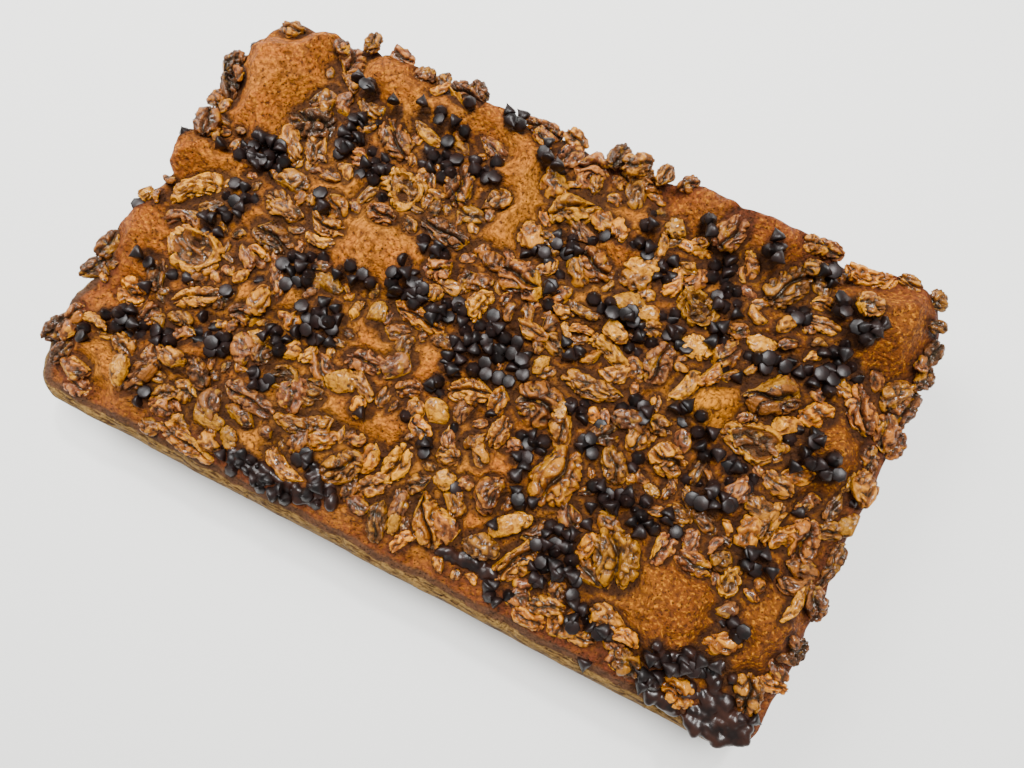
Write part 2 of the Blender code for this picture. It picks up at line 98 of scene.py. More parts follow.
class Tint(Enum):
    """The colours of the walnuts' skin, in the order of their finishes."""

    TAN = 0
    GOLD = 1
    REDDISH = 2
    PINKISH = 3
    DARK = 4
    PALE = 5


# Short names for the tables of pieces.
HALF, OPEN, BAR, SLICE, NUB = Cut
TAN, GOLD, REDDISH, PINKISH, DARK, PALE = Tint


class Dome(NamedTuple):
    """One rounded lump of crust: its place, its two half widths and its rise."""

    x: float
    y: float
    half_x: float
    half_y: float
    rise: float


class Piece(NamedTuple):
    """One walnut piece: place, length, width, turn, tilt, lift, cut and tint."""

    x: float
    y: float
    length: float
    width: float
    yaw: float
    tilt: float
    lift: float
    cut: Cut
    tint: Tint


class Drift(NamedTuple):
    """One drift of chocolate chips: place, two half widths and their number."""

    x: float
    y: float
    half_x: float
    half_y: float
    count: int


class Oval(NamedTuple):
    """A thing's outline: place, half sizes, and its turn's cosine and sine."""

    x: float
    y: float
    half_x: float
    half_y: float
    cosine: float = 1.0
    sine: float = 0.0

    def gap(self, x: Array, y: Array) -> Array:
        """Give each place's distance to the outline, negative inside."""
        along = ((x - self.x) * self.cosine + (y - self.y) * self.sine) / self.half_x
        across = ((y - self.y) * self.cosine - (x - self.x) * self.sine) / self.half_y
        return (np.hypot(along, across) - 1.0) * np.minimum(self.half_x, self.half_y)


class Noise(NamedTuple):
    """One noise texture: the width of its lumps in millimetres, and its detail."""

    width: float
    detail: float = 3.0
    roughness: float = 0.5
    distortion: float = 0.0

    def sockets(self, place: Socket) -> dict:
        """Give the inputs of the texture's node."""
        return {
            "Vector": place, "Scale": 1.0 / (self.width * MM), "Detail": self.detail,
            "Roughness": self.roughness, "Distortion": self.distortion}


class Fade(NamedTuple):
    """How a share grows with a value: where it starts, where it is most."""

    start: float
    end: float
    most: float = 1.0

    def sockets(self, value: Socket) -> dict:
        """Give the inputs of the node that maps the value onto the share."""
        return {
            "Value": value, "From Min": self.start, "From Max": self.end,
            "To Max": self.most}


class Bump(NamedTuple):
    """How strongly a fine relief tilts the light, and its depth in millimetres."""

    strength: float
    depth: float


DOMES = (
    # Back left.
    Dome(-133, 70, 13, 16, 13), Dome(-117, 84, 12, 10, 13), Dome(-125, 52, 17, 14, 13),
    Dome(-80, 84, 19, 13, 12), Dome(-38, 86, 20, 9, 11), Dome(-14, 76, 14, 13, 10),
    Dome(-8, 56, 10, 18, 8),
    # Back right.
    Dome(35, 74, 9, 8, 7), Dome(36, 60, 10, 6, 6), Dome(58, 90, 15, 12, 13),
    Dome(89, 91, 19, 13, 14), Dome(140, 82, 17, 19, 13), Dome(143, 68, 11, 10, 11),
    Dome(108, 58, 16, 5, 6),
    # Left end.
    Dome(-141, 20, 15, 12, 12), Dome(-151, 19, 6, 6, 6), Dome(-127, 24, 10, 7, 9),
    Dome(-145, -20, 15, 16, 11), Dome(-150, -55, 12, 10, 8), Dome(-135, -73, 18, 8, 9),
    Dome(-120, -83, 9, 8, 6), Dome(-108, 5, 7, 6, 4),
    # Middle.
    Dome(-88, 30, 12, 6, 6), Dome(-54, 17, 20, 15, 9), Dome(-76, 36, 8, 6, 5),
    Dome(-100, -58, 8, 8, 6), Dome(-36, -15, 10, 7, 5), Dome(-13, -15, 7, 9, 5),
    Dome(-73, -16, 9, 6, 4), Dome(-93, -22, 9, 6, 4), Dome(-77, -44, 7, 5, 4),
    Dome(8, 21, 6, 4, 3), Dome(31, 37, 9, 6, 5), Dome(67, -4, 8, 5, 4),
    Dome(87, -24, 7, 6, 4), Dome(103, 0, 7, 5, 4), Dome(120, -10, 6, 8, 4),
    # Right end.
    Dome(93, 21, 10, 11, 10), Dome(141, 26, 11, 15, 11), Dome(143, 10, 7, 6, 6),
    Dome(143, -25, 8, 6, 5), Dome(147, -46, 11, 18, 9), Dome(110, -57, 24, 17, 11),
    # Front.
    Dome(34, -64, 7, 7, 7), Dome(30, -42, 12, 8, 6), Dome(-18, -45, 13, 9, 7),
    Dome(-35, -45, 10, 6, 5), Dome(-60, -72, 8, 7, 5), Dome(-15, -80, 12, 7, 4),
    Dome(30, -83, 28, 4, 2),
)

# Where the dough between two domes rose as well, so that they run into one another.
BRIDGES = (
    Dome(-123, 68, 16, 18, 10), Dome(-114, 68, 10, 10, 9), Dome(-60, 80, 14, 10, 8),
    Dome(71, 92, 14, 10, 11), Dome(102, 88, 12, 10, 9), Dome(126, 78, 12, 12, 8),
    Dome(-138, -45, 12, 12, 6),
)

# The large walnut pieces, in the order of the nodes walnut_01, walnut_02 and on.
KERNELS = (
    # Back left.
    Piece(-99, 82, 18, 13, 105, 10, 1.5, HALF, PINKISH),
    Piece(-101, 53, 22, 18, 0, -8, 1.5, HALF, DARK),
    Piece(-142, 53, 20, 10, -60, 18, 0.5, HALF, DARK),
    Piece(-49, 91, 17, 12, 0, 8, 1.5, HALF, DARK),
    Piece(-12, 91, 21, 9, 0, 6, 1.5, HALF, REDDISH),
    Piece(-67, 62, 24, 12, -35, -8, 1.5, HALF, REDDISH),
    Piece(-33, 55, 18, 13, 110, 6, 1.5, HALF, REDDISH),
    Piece(-53, 44, 21, 16, -15, 5, 1.5, OPEN, PALE),
    Piece(-29, 35, 24, 11, -5, -6, 1.5, HALF, DARK),
    # Back right.
    Piece(11, 85, 15, 13, 20, 5, 1.5, HALF, PINKISH),
    Piece(33, 90, 16, 12, 0, 8, 1.5, HALF, REDDISH),
    Piece(13, 67, 24, 14, 40, 6, 1.5, HALF, PALE),
    Piece(30, 49, 20, 13, -15, -6, 1.5, HALF, REDDISH),
    Piece(72, 84, 20, 13, 80, 6, 1.5, HALF, PINKISH),
    Piece(73, 51, 19, 15, -30, 5, 1.5, OPEN, PALE),
    Piece(79, 37, 13, 11, 0, 4, 1.5, SLICE, PALE),
    Piece(100, 74, 24, 15, 60, 8, 1.5, HALF, TAN),
    Piece(126, 91, 22, 10, 8, 5, 1.5, BAR, GOLD),
    Piece(157, 52, 24, 11, 88, 12, 0.0, HALF, DARK),
    Piece(143, 42, 22, 12, -60, -8, 1.5, HALF, REDDISH),
    # Left of the middle.
    Piece(-130, 8, 28, 13, 42, 8, 1.5, BAR, PALE),
    Piece(-118, -16, 25, 20, 0, 0, 1.5, OPEN, TAN),
    Piece(-92, 3, 22, 12, -10, 6, 1.5, HALF, REDDISH),
    Piece(-108, -33, 23, 10, 33, -5, 1.5, HALF, TAN),
    Piece(-86, -30, 15, 11, 20, 6, 1.5, HALF, REDDISH),
    Piece(-75, 17, 19, 10, 0, 5, 1.5, HALF, TAN),
    Piece(-56, 31, 14, 9, 0, 4, 1.5, HALF, REDDISH),
    Piece(-24, 21, 15, 11, 20, 5, 1.5, HALF, PINKISH),
    Piece(-3, 15, 17, 12, 80, -5, 1.5, BAR, PALE),
    Piece(-23, 0, 24, 9, 0, 5, 1.5, HALF, GOLD),
    Piece(-33, -25, 20, 10, 10, -4, 1.5, HALF, PINKISH),
    # Right of the middle.
    Piece(8, 32, 23, 16, 0, 6, 1.5, HALF, REDDISH),
    Piece(50, 21, 22, 10, -15, 5, 1.5, BAR, PALE),
    Piece(50, 6, 27, 12, 5, -6, 1.5, BAR, TAN),
    Piece(69, 25, 19, 12, 90, 5, 1.5, HALF, PINKISH),
    Piece(36, -9, 23, 19, 0, 8, 1.5, HALF, REDDISH),
    Piece(11, -16, 22, 12, 25, -5, 1.5, HALF, TAN),
    Piece(54, -31, 26, 19, 85, 5, 1.5, HALF, GOLD),
    Piece(112, 33, 23, 16, 20, 6, 1.5, HALF, REDDISH),
    Piece(114, 14, 26, 15, 5, 0, 1.5, OPEN, TAN),
    Piece(88, -6, 15, 13, 0, 5, 1.5, HALF, TAN),
    Piece(131, -10, 18, 10, 80, 8, 1.5, HALF, TAN),
    Piece(144, -11, 19, 13, 90, -6, 1.5, HALF, REDDISH),
    Piece(157, -14, 22, 8, 87, 4, 0.5, BAR, REDDISH),
    # Front left.
    Piece(-133, -43, 14, 13, 0, 6, 1.5, HALF, GOLD),
    Piece(-113, -68, 27, 13, 78, -5, 1.5, BAR, REDDISH),
    Piece(-82, -85, 26, 9, -8, 6, 1.5, HALF, GOLD),
    Piece(-68, -59, 26, 10, -5, 5, 1.5, HALF, PINKISH),
    Piece(-60, -45, 14, 11, 10, 0, 1.5, OPEN, TAN),
    Piece(-42, -57, 26, 11, 25, 8, 1.5, BAR, GOLD),
    Piece(-22, -66, 18, 13, 50, -4, 1.5, HALF, TAN),
    # Front right.
    Piece(-3, -54, 19, 12, 80, 4, 1.5, HALF, PALE),
    Piece(18, -68, 24, 12, -50, 6, 1.5, HALF, GOLD),
    Piece(54, -66, 22, 13, 60, -5, 1.5, HALF, TAN),
    Piece(87, -48, 26, 19, -60, 6, 1.5, HALF, PALE),
    Piece(149, -68, 17, 13, -70, 8, 1.5, HALF, TAN),
    Piece(127, -79, 14, 12, 0, 5, 1.5, HALF, GOLD),
)

# The smaller pieces, which are joined to the slab.
SMALL_PIECES = (
    # Back left.
    Piece(-130, 86, 13, 9, 10, 5, 1.0, HALF, TAN),
    Piece(-84, 97, 14, 8, -5, 12, 1.0, HALF, PINKISH),
    Piece(-69, 92, 10, 8, 30, 10, 1.0, NUB, PINKISH),
    Piece(-45, 95, 12, 8, -20, 12, 1.0, HALF, DARK),
    Piece(0, 93, 13, 9, -20, 10, 1.0, HALF, TAN),
    Piece(-107, 88, 9, 7, 0, 0, 1.0, NUB, DARK),
    Piece(-147, 62, 12, 8, 75, 12, 0.5, HALF, DARK),
    Piece(-145, 45, 10, 8, 80, 8, 0.5, NUB, REDDISH),
    Piece(-61, 93, 10, 7, 90, 0, 1.0, NUB, TAN),
    Piece(-96, 95, 11, 8, 90, 10, 1.0, HALF, TAN),
    Piece(-23, 46, 14, 9, 0, 0, 1.0, HALF, PALE),
    Piece(-76, 48, 10, 9, 0, 0, 2.0, HALF, PINKISH),
    Piece(-55, 69, 18, 8, -20, 6, 2.5, BAR, PALE),
    Piece(-29, 75, 16, 8, -10, 0, 1.0, HALF, PINKISH),
    Piece(-146, 66, 8, 6, 0, 0, 0.0, NUB, DARK),
    Piece(-103, 63, 13, 9, 60, 0, 2.0, HALF, DARK),
    # Back right.
    Piece(28, 97, 14, 11, 30, 18, 1.0, HALF, TAN),
    Piece(19, 94, 13, 10, 80, 18, 1.0, HALF, REDDISH),
    Piece(40, 98, 12, 8, 90, 15, 1.0, HALF, TAN),
    Piece(49, 95, 11, 8, 40, 8, 1.0, HALF, REDDISH),
    Piece(102, 94, 11, 9, 20, 8, 1.0, HALF, TAN),
    Piece(144, 98, 12, 7, -8, 8, 1.0, HALF, TAN),
    Piece(152, 93, 10, 7, -50, 8, 1.0, NUB, TAN),
    Piece(159, 64, 12, 8, 80, 12, 0.5, HALF, REDDISH),
    Piece(159, 37, 14, 9, 85, 12, 0.5, HALF, REDDISH),
    Piece(47, 56, 14, 9, 20, 0, 2.0, SLICE, PALE),
    Piece(50, 67, 14, 6, 95, 0, 1.5, BAR, TAN),
    Piece(62, 63, 10, 9, 0, 0, 1.5, HALF, TAN),
    Piece(48, 42, 14, 9, 0, 0, 2.0, SLICE, PALE),
    Piece(57, 41, 12, 7, 15, 8, 2.5, SLICE, GOLD),
    Piece(118, 66, 15, 7, 0, 0, 1.5, HALF, TAN),
    Piece(130, 81, 12, 10, 0, 0, 1.5, HALF, TAN),
    Piece(106, 86, 10, 8, 0, 0, 1.0, NUB, TAN),
    Piece(112, 98, 13, 8, -8, 10, 1.0, HALF, REDDISH),
    Piece(101, 49, 13, 9, 0, 0, 2.0, SLICE, PALE),
    Piece(91, 50, 10, 8, 30, 0, 1.5, HALF, REDDISH),
    Piece(52, 77, 10, 9, 0, 0, 1.0, SLICE, PALE),
    Piece(153, 28, 12, 8, -70, 0, 1.0, HALF, REDDISH),
    Piece(158, 74, 14, 8, 80, 10, 0.0, HALF, DARK),
    Piece(63, 75, 9, 7, 40, 0, 1.5, NUB, GOLD),
    # Left of the middle.
    Piece(-98, 18, 13, 9, 0, 0, 1.5, HALF, TAN),
    Piece(-98, -9, 15, 8, -35, 0, 2.5, BAR, PINKISH),
    Piece(-73, 10, 13, 7, 10, 0, 3.0, BAR, PALE),
    Piece(-44, 32, 9, 7, -30, 0, 1.0, HALF, TAN),
    Piece(-38, -6, 12, 8, 90, 0, 1.5, SLICE, PALE),
    Piece(-46, -8, 10, 6, 90, 0, 2.0, BAR, PALE),
    Piece(-62, -4, 14, 9, 0, 0, 1.5, SLICE, PALE),
    Piece(-22, 11, 10, 8, 0, 0, 2.5, NUB, TAN),
    Piece(-22, -13, 12, 8, 90, 0, 1.5, HALF, TAN),
    Piece(-13, -27, 12, 9, 30, 0, 1.5, HALF, REDDISH),
    Piece(-12, 22, 12, 8, 90, 0, 1.5, HALF, REDDISH),
    Piece(-110, -44, 12, 9, 20, 0, 1.5, BAR, TAN),
    Piece(-159, -31, 14, 10, 80, 12, 0.0, HALF, REDDISH),
    Piece(-161, -43, 14, 9, 70, 12, 0.0, HALF, DARK),
    Piece(-156, -70, 17, 10, 75, 12, 0.0, HALF, DARK),
    Piece(-151, -61, 11, 9, 60, 8, 0.5, HALF, REDDISH),
    Piece(-155, -4, 9, 7, 80, 0, 0.0, NUB, PALE),
    Piece(-77, -36, 12, 8, 20, 0, 1.5, SLICE, PALE),
    # Right of the middle.
    Piece(28, 28, 12, 8, 20, 0, 2.0, BAR, TAN),
    Piece(37, 24, 12, 5, 12, 0, 2.5, BAR, GOLD),
    Piece(32, 21, 8, 4, -45, 0, 2.5, SLICE, PALE),
    Piece(48, 29, 14, 8, -15, 0, 3.5, SLICE, TAN),
    Piece(35, 31, 16, 6, 0, 0, 2.0, BAR, TAN),
    Piece(19, 15, 16, 8, 0, 0, 2.0, HALF, GOLD),
    Piece(29, 5, 11, 6, 80, 0, 2.0, SLICE, PALE),
    Piece(80, 4, 11, 9, 0, 0, 1.5, HALF, TAN),
    Piece(82, 22, 17, 9, 75, 0, 2.5, BAR, PALE),
    Piece(128, 4, 15, 9, -10, 0, 2.0, HALF, TAN),
    Piece(71, -17, 15, 11, -50, 0, 2.0, HALF, TAN),
    Piece(88, -19, 8, 5, 0, 0, 1.5, SLICE, PALE),
    Piece(103, -16, 13, 7, -30, 0, 1.5, BAR, TAN),
    Piece(27, -25, 14, 9, 90, 0, 2.0, HALF, TAN),
    Piece(20, -33, 12, 9, 30, 0, 2.0, BAR, GOLD),
    Piece(2, -30, 13, 10, -40, 0, 1.5, SLICE, PALE),
    Piece(44, -8, 10, 6, -70, 0, 5.0, SLICE, REDDISH),
    Piece(149, 6, 16, 6, 80, 0, 1.5, HALF, REDDISH),
    Piece(150, 16, 9, 4, 85, 0, 2.0, BAR, PALE),
    Piece(156, 2, 12, 8, 60, 0, 1.5, SLICE, GOLD),
    Piece(113, -36, 15, 9, 0, 0, 1.5, HALF, REDDISH),
    Piece(127, -36, 14, 9, 95, 0, 1.5, OPEN, PALE),
    Piece(151, -33, 16, 6, 80, 0, 1.0, BAR, PALE),
    Piece(159, -30, 11, 8, 80, 8, 0.0, HALF, DARK),
    Piece(159, -46, 11, 7, 80, 8, 0.0, HALF, DARK),
    # Front left.
    Piece(-141, -60, 14, 6, -5, 0, 1.5, BAR, PALE),
    Piece(-133, -63, 10, 4, 10, 0, 1.5, BAR, PALE),
    Piece(-122, -72, 14, 8, -65, 0, 1.5, SLICE, PALE),
    Piece(-93, -68, 12, 10, 0, 0, 1.5, HALF, TAN),
    Piece(-100, -73, 11, 9, 40, 0, 1.5, HALF, TAN),
    Piece(-134, -86, 13, 10, 0, 0, 1.5, HALF, PINKISH),
    Piece(-148, -77, 14, 8, 80, 0, 0.5, HALF, DARK),
    Piece(-98, -86, 10, 8, 0, 0, 1.5, NUB, GOLD),
    Piece(-79, -73, 18, 9, 0, 0, 2.0, SLICE, PALE),
    Piece(-67, -76, 12, 8, -40, 0, 2.0, SLICE, GOLD),
    Piece(-38, -36, 16, 11, 0, 0, 2.0, SLICE, PALE),
    Piece(-55, -33, 10, 7, 60, 0, 1.5, BAR, PALE),
    Piece(-47, -42, 10, 8, 0, 0, 1.5, HALF, TAN),
    Piece(-42, -76, 22, 9, -20, 0, 2.0, BAR, TAN),
    # Front right.
    Piece(0, -76, 18, 9, -65, 0, 2.0, HALF, TAN),
    Piece(7, -74, 11, 6, 100, 0, 2.5, SLICE, PALE),
    Piece(13, -79, 13, 7, 60, 0, 2.0, BAR, GOLD),
    Piece(13, -42, 12, 9, 0, 0, 1.5, HALF, TAN),
    Piece(17, -51, 10, 9, 0, 0, 1.5, SLICE, PALE),
    Piece(9, -57, 11, 9, 40, 0, 2.0, HALF, TAN),
    Piece(46, -55, 20, 9, 45, 0, 2.0, SLICE, PALE),
    Piece(68, -82, 14, 9, 0, 0, 1.5, HALF, GOLD),
    Piece(72, -75, 14, 8, 20, 0, 1.5, HALF, TAN),
    Piece(107, -79, 12, 11, 0, 0, 1.5, HALF, TAN),
    Piece(103, -71, 11, 8, 0, 0, 1.5, BAR, GOLD),
    Piece(88, -79, 12, 7, 20, 0, 1.5, HALF, TAN),
)

DRIFTS = (
    # Back left.
    Drift(-113, 32, 12, 7, 22), Drift(-114, 10, 8, 8, 8), Drift(-119, -4, 6, 5, 5),
    Drift(-84, 54, 6, 10, 12), Drift(-84, 74, 4, 3, 3), Drift(-70, 48, 9, 7, 8),
    Drift(-45, 63, 10, 8, 9), Drift(-27, 66, 8, 5, 6), Drift(-54, 76, 8, 3, 3),
    Drift(-42, 77, 1, 1, 1), Drift(-43, 86, 1, 1, 1), Drift(-71, 71, 1, 1, 1),
    Drift(-77, 64, 1, 1, 1), Drift(-60, 37, 1, 1, 1), Drift(-24, 89, 4, 3, 4),
    Drift(-2, 80, 6, 6, 5), Drift(-147, 26, 1, 1, 1), Drift(-150, -10, 1, 1, 1),
    Drift(-141, 72, 1, 1, 1), Drift(-131, 29, 1, 1, 1),
    # Back right.
    Drift(8, 44, 6, 4, 4), Drift(17, 52, 8, 4, 6), Drift(25, 60, 4, 3, 2),
    Drift(19, 41, 1, 1, 1), Drift(48, 36, 12, 4, 9), Drift(60, 29, 5, 5, 4),
    Drift(64, 79, 4, 4, 3), Drift(76, 77, 1, 1, 1), Drift(74, 69, 5, 6, 6),
    Drift(42, 77, 3, 6, 3), Drift(43, 63, 5, 4, 4), Drift(56, 60, 5, 7, 5),
    Drift(66, 44, 6, 3, 3), Drift(70, 36, 6, 4, 4), Drift(83, 60, 6, 5, 7),
    Drift(90, 82, 4, 4, 3), Drift(110, 85, 3, 4, 3), Drift(120, 74, 4, 3, 3),
    Drift(132, 72, 4, 4, 4), Drift(129, 66, 4, 3, 3), Drift(109, 65, 4, 4, 4),
    Drift(130, 54, 8, 6, 8), Drift(118, 45, 12, 4, 8), Drift(103, 43, 6, 3, 3),
    Drift(86, 45, 4, 4, 3), Drift(95, 36, 4, 4, 2), Drift(128, 20, 5, 7, 6),
    # Left of the middle.
    Drift(-133, -29, 3, 3, 2), Drift(-128, -37, 1, 1, 1), Drift(-119, -28, 4, 2, 2),
    Drift(-94, -45, 8, 5, 8), Drift(-101, -38, 1, 1, 1), Drift(-88, -15, 1, 1, 1),
    Drift(-98, -25, 1, 1, 1), Drift(-75, -4, 9, 8, 10), Drift(-57, -19, 9, 9, 14),
    Drift(-80, 24, 5, 3, 3), Drift(-52, 3, 8, 4, 4), Drift(-69, 4, 1, 1, 1),
    Drift(-34, 10, 6, 8, 8), Drift(-20, 8, 14, 6, 16), Drift(-28, 29, 8, 4, 6),
    Drift(-73, -31, 2, 2, 2), Drift(-68, -34, 5, 3, 3), Drift(-67, -50, 6, 4, 4),
    # Right of the middle.
    Drift(10, 0, 16, 10, 26), Drift(-3, -14, 4, 12, 8), Drift(4, 13, 1, 1, 1),
    Drift(36, 15, 5, 4, 4), Drift(20, 31, 3, 4, 4), Drift(50, -3, 5, 6, 5),
    Drift(60, -6, 1, 1, 1), Drift(58, -15, 6, 3, 4), Drift(68, 6, 6, 4, 5),
    Drift(76, -13, 3, 4, 2), Drift(86, 13, 6, 4, 4), Drift(97, 5, 6, 4, 4),
    Drift(114, 1, 7, 5, 6), Drift(106, -11, 9, 5, 9), Drift(142, -2, 3, 4, 2),
    Drift(139, 17, 7, 4, 4), Drift(154, 11, 1, 1, 1), Drift(73, -29, 6, 6, 8),
    Drift(40, -23, 5, 3, 5), Drift(39, -33, 3, 6, 3), Drift(10, -32, 1, 1, 1),
    Drift(21, -22, 1, 1, 1), Drift(71, -40, 1, 1, 1), Drift(84, -25, 4, 3, 3),
    Drift(90, -31, 6, 3, 4), Drift(98, -27, 5, 3, 3), Drift(133, -24, 6, 5, 5),
    # Front left.
    Drift(-130, -55, 9, 5, 9), Drift(-142, -66, 3, 2, 2), Drift(-113, -54, 5, 3, 4),
    Drift(-107, -77, 3, 4, 2), Drift(-22, -42, 1, 1, 1), Drift(-15, -62, 1, 1, 1),
    Drift(-6, -37, 3, 2, 2), Drift(-36, -69, 4, 3, 3), Drift(-60, -82, 9, 5, 7),
    Drift(-42, -84, 12, 4, 7), Drift(-25, -78, 5, 4, 5),
    # Front right.
    Drift(5, -43, 3, 3, 3), Drift(22, -52, 1, 1, 1), Drift(48, -44, 5, 3, 3),
    Drift(65, -58, 8, 13, 22), Drift(54, -79, 5, 4, 4), Drift(41, -58, 1, 1, 1),
    Drift(78, -66, 3, 8, 4), Drift(84, -73, 5, 4, 5), Drift(95, -73, 3, 2, 3),
    Drift(94, -85, 1, 1, 1), Drift(113, -73, 3, 2, 3), Drift(134, -51, 4, 4, 3),
    Drift(122, -70, 5, 3, 6), Drift(130, -66, 6, 4, 4), Drift(115, -79, 4, 3, 6),
    Drift(152, -76, 3, 3, 2),
)

# Where chips melted and ran together: place, two half widths and lumps.
MELTED = (
    # Front left.
    Drift(-62, -80, 9, 4, 12), Drift(-49, -82, 9, 3, 12), Drift(-34, -81, 9, 3, 12),
    Drift(-22, -76, 5, 4, 6), Drift(-30, -72, 5, 3, 5),
    # A bar in the front's middle.
    Drift(32, -75, 4, 1, 6), Drift(40, -74, 5, 1, 7), Drift(47, -74.5, 4, 1, 5),
    # Front right corner.
    Drift(118, -69, 7, 3, 8), Drift(129, -65, 6, 4, 9), Drift(137, -68, 6, 5, 13),
    Drift(136, -78, 7, 6, 16), Drift(146, -78, 6, 6, 16), Drift(152, -82, 4, 5, 11),
    Drift(143, -86, 10, 4, 18), Drift(126, -86, 8, 3, 9),
)


def linear(code: str) -> tuple[float, float, float, float]:
    """Turn an sRGB hex colour into linear light.

    Args:
        code: Six hex digits, with or without a leading hash.

    Returns:
        Red, green, blue and an alpha of one.
    """
    digits = code.lstrip("#")
    values = [int(digits[place:place + 2], 16) / 255.0 for place in (0, 2, 4)]
    light = [v / 12.92 if v <= 0.04045 else ((v + 0.055) / 1.055) ** 2.4 for v in values]
    return light[0], light[1], light[2], 1.0


def add_node(
    tree: Tree,
    kind: str,
    settings: dict | None = None,
    sockets: dict | None = None,
) -> bpy.types.Node:
    """Add one node with its settings, values and links.

    Args:
        tree: The material's node tree.
        kind: The node's type name.
        settings: Attributes of the node.
        sockets: Inputs by name or number, each a value or an output to link.

    Returns:
        The new node.
    """
    node = tree.nodes.new(kind)
    for key, value in (settings or {}).items():
        setattr(node, key, value)
    for key, value in (sockets or {}).items():
        if isinstance(value, Socket):
            tree.links.new(value, node.inputs[key])
        else:
            node.inputs[key].default_value = value
    return node


def set_ramp(node: bpy.types.Node, places: tuple[float, ...], codes: tuple[str, ...]) -> None:
    """Give a colour ramp its stops.

    Args:
        node: The ramp.
        places: Places from 0 to 1.
        codes: The hex colour at each place.
    """
    ramp = node.color_ramp
    while len(ramp.elements) < len(places):
        ramp.elements.new(0.5)
    for element, place, code in zip(ramp.elements, places, codes):
        element.position = place
        element.color = linear(code)


def lay_over(
    tree: Tree,
    colour: Socket,
    layers: list[tuple[Socket, str | Socket]],
) -> Socket:
    """Lay colours over one another.

    Args:
        tree: The material's node tree.
        colour: The lowest colour.
        layers: The share of each, with its hex colour or an output.

    Returns:
        The colour of them all.
    """
    for share, over in layers:
        cover = linear(over) if isinstance(over, str) else over
        mix = add_node(tree, "ShaderNodeMix", {"data_type": "RGBA"}, {
            MIX_SHARE: share, MIX_UNDER: colour, MIX_OVER: cover})
        colour = mix.outputs[MIX_RESULT]
    return colour


def new_material(name: str) -> tuple[Material, Socket]:
    """Make a material.

    Args:
        name: The material's name.

    Returns:
        The material, and the object coordinates that its textures follow.
    """
    made = bpy.data.materials.new(name)
    made.use_nodes = True
    return made, add_node(made.node_tree, "ShaderNodeTexCoord").outputs["Object"]


def dress_shader(
    tree: Tree,
    colour: Socket,
    relief: Socket,
    bump: Bump,
    values: dict[str, float | tuple[float, ...]],
) -> None:
    """Give a material's shader its colour, its fine relief and its other values.

    Args:
        tree: The material's node tree.
        colour: The whole colour.
        relief: The height of the relief.
        bump: How strongly it shows, and how deep it is.
        values: Values that are the same all over, by the input's name.
    """
    tilt = add_node(tree, "ShaderNodeBump", {}, {
        "Height": relief, "Strength": bump.strength, "Distance": bump.depth * MM})
    shader = tree.nodes["Principled BSDF"]
    tree.links.new(colour, shader.inputs["Base Color"])
    tree.links.new(tilt.outputs["Normal"], shader.inputs["Normal"])
    for name, value in values.items():
        shader.inputs[name].default_value = value


def gradient_noise(points: Array, seed: int) -> Array:
    """Give smooth signed noise with one lump to each unit of space.

    Args:
        points: Rows of three coordinates.
        seed: Picks the pattern.

    Returns:
        One value from about -1 to 1 for each row.
    """
    rng = np.random.default_rng(seed)
    order = rng.permutation(256)
    slopes = rng.normal(size=(256, 3))
    slopes /= np.linalg.norm(slopes, axis=1)[:, None]
    base = np.floor(points).astype(int)
    part = points - base
    fade = part ** 3 * (part * (part * 6.0 - 15.0) + 10.0)
    total = np.zeros(len(points))
    for corner in np.ndindex(2, 2, 2):
        cell = base + corner
        pick = order[(order[(order[cell[:, 0] & 255] + cell[:, 1]) & 255] + cell[:, 2]) & 255]
        weight = np.prod(np.where(np.array(corner) == 1, fade, 1.0 - fade), axis=1)
        total += weight * np.einsum("ij,ij->i", slopes[pick], part - corner)
    return total * NOISE_GAIN


def lump_noise(x: Array, y: Array, cell: float, seed: int, table_size: int = 64) -> Array:
    """Give the slab's own noise, from -1 to 1, with lumps one cell apart.

    Args:
        x: Places along X in millimetres.
        y: Places along Y in millimetres.
        cell: Distance between lumps.
        seed: Picks the pattern.
        table_size: Number of lumps before the pattern repeats.

    Returns:
        One value for each place.
    """
    table = np.random.default_rng(seed).uniform(-1.0, 1.0, (table_size, table_size))
    across = np.asarray(x, dtype=float) / cell
    along = np.asarray(y, dtype=float) / cell
    left = np.floor(across).astype(int)
    low = np.floor(along).astype(int)
    mix_x = across - left
    mix_y = along - low
    mix_x = mix_x * mix_x * (3.0 - 2.0 * mix_x)
    mix_y = mix_y * mix_y * (3.0 - 2.0 * mix_y)

    def corner(step_x: int, step_y: int) -> Array:
        """Give the table's value at one corner of each place's cell."""
        return table[(left + step_x) % table_size, (low + step_y) % table_size]

    near = corner(0, 0) * (1.0 - mix_x) + corner(1, 0) * mix_x
    far = corner(0, 1) * (1.0 - mix_x) + corner(1, 1) * mix_x
    return near * (1.0 - mix_y) + far * mix_y


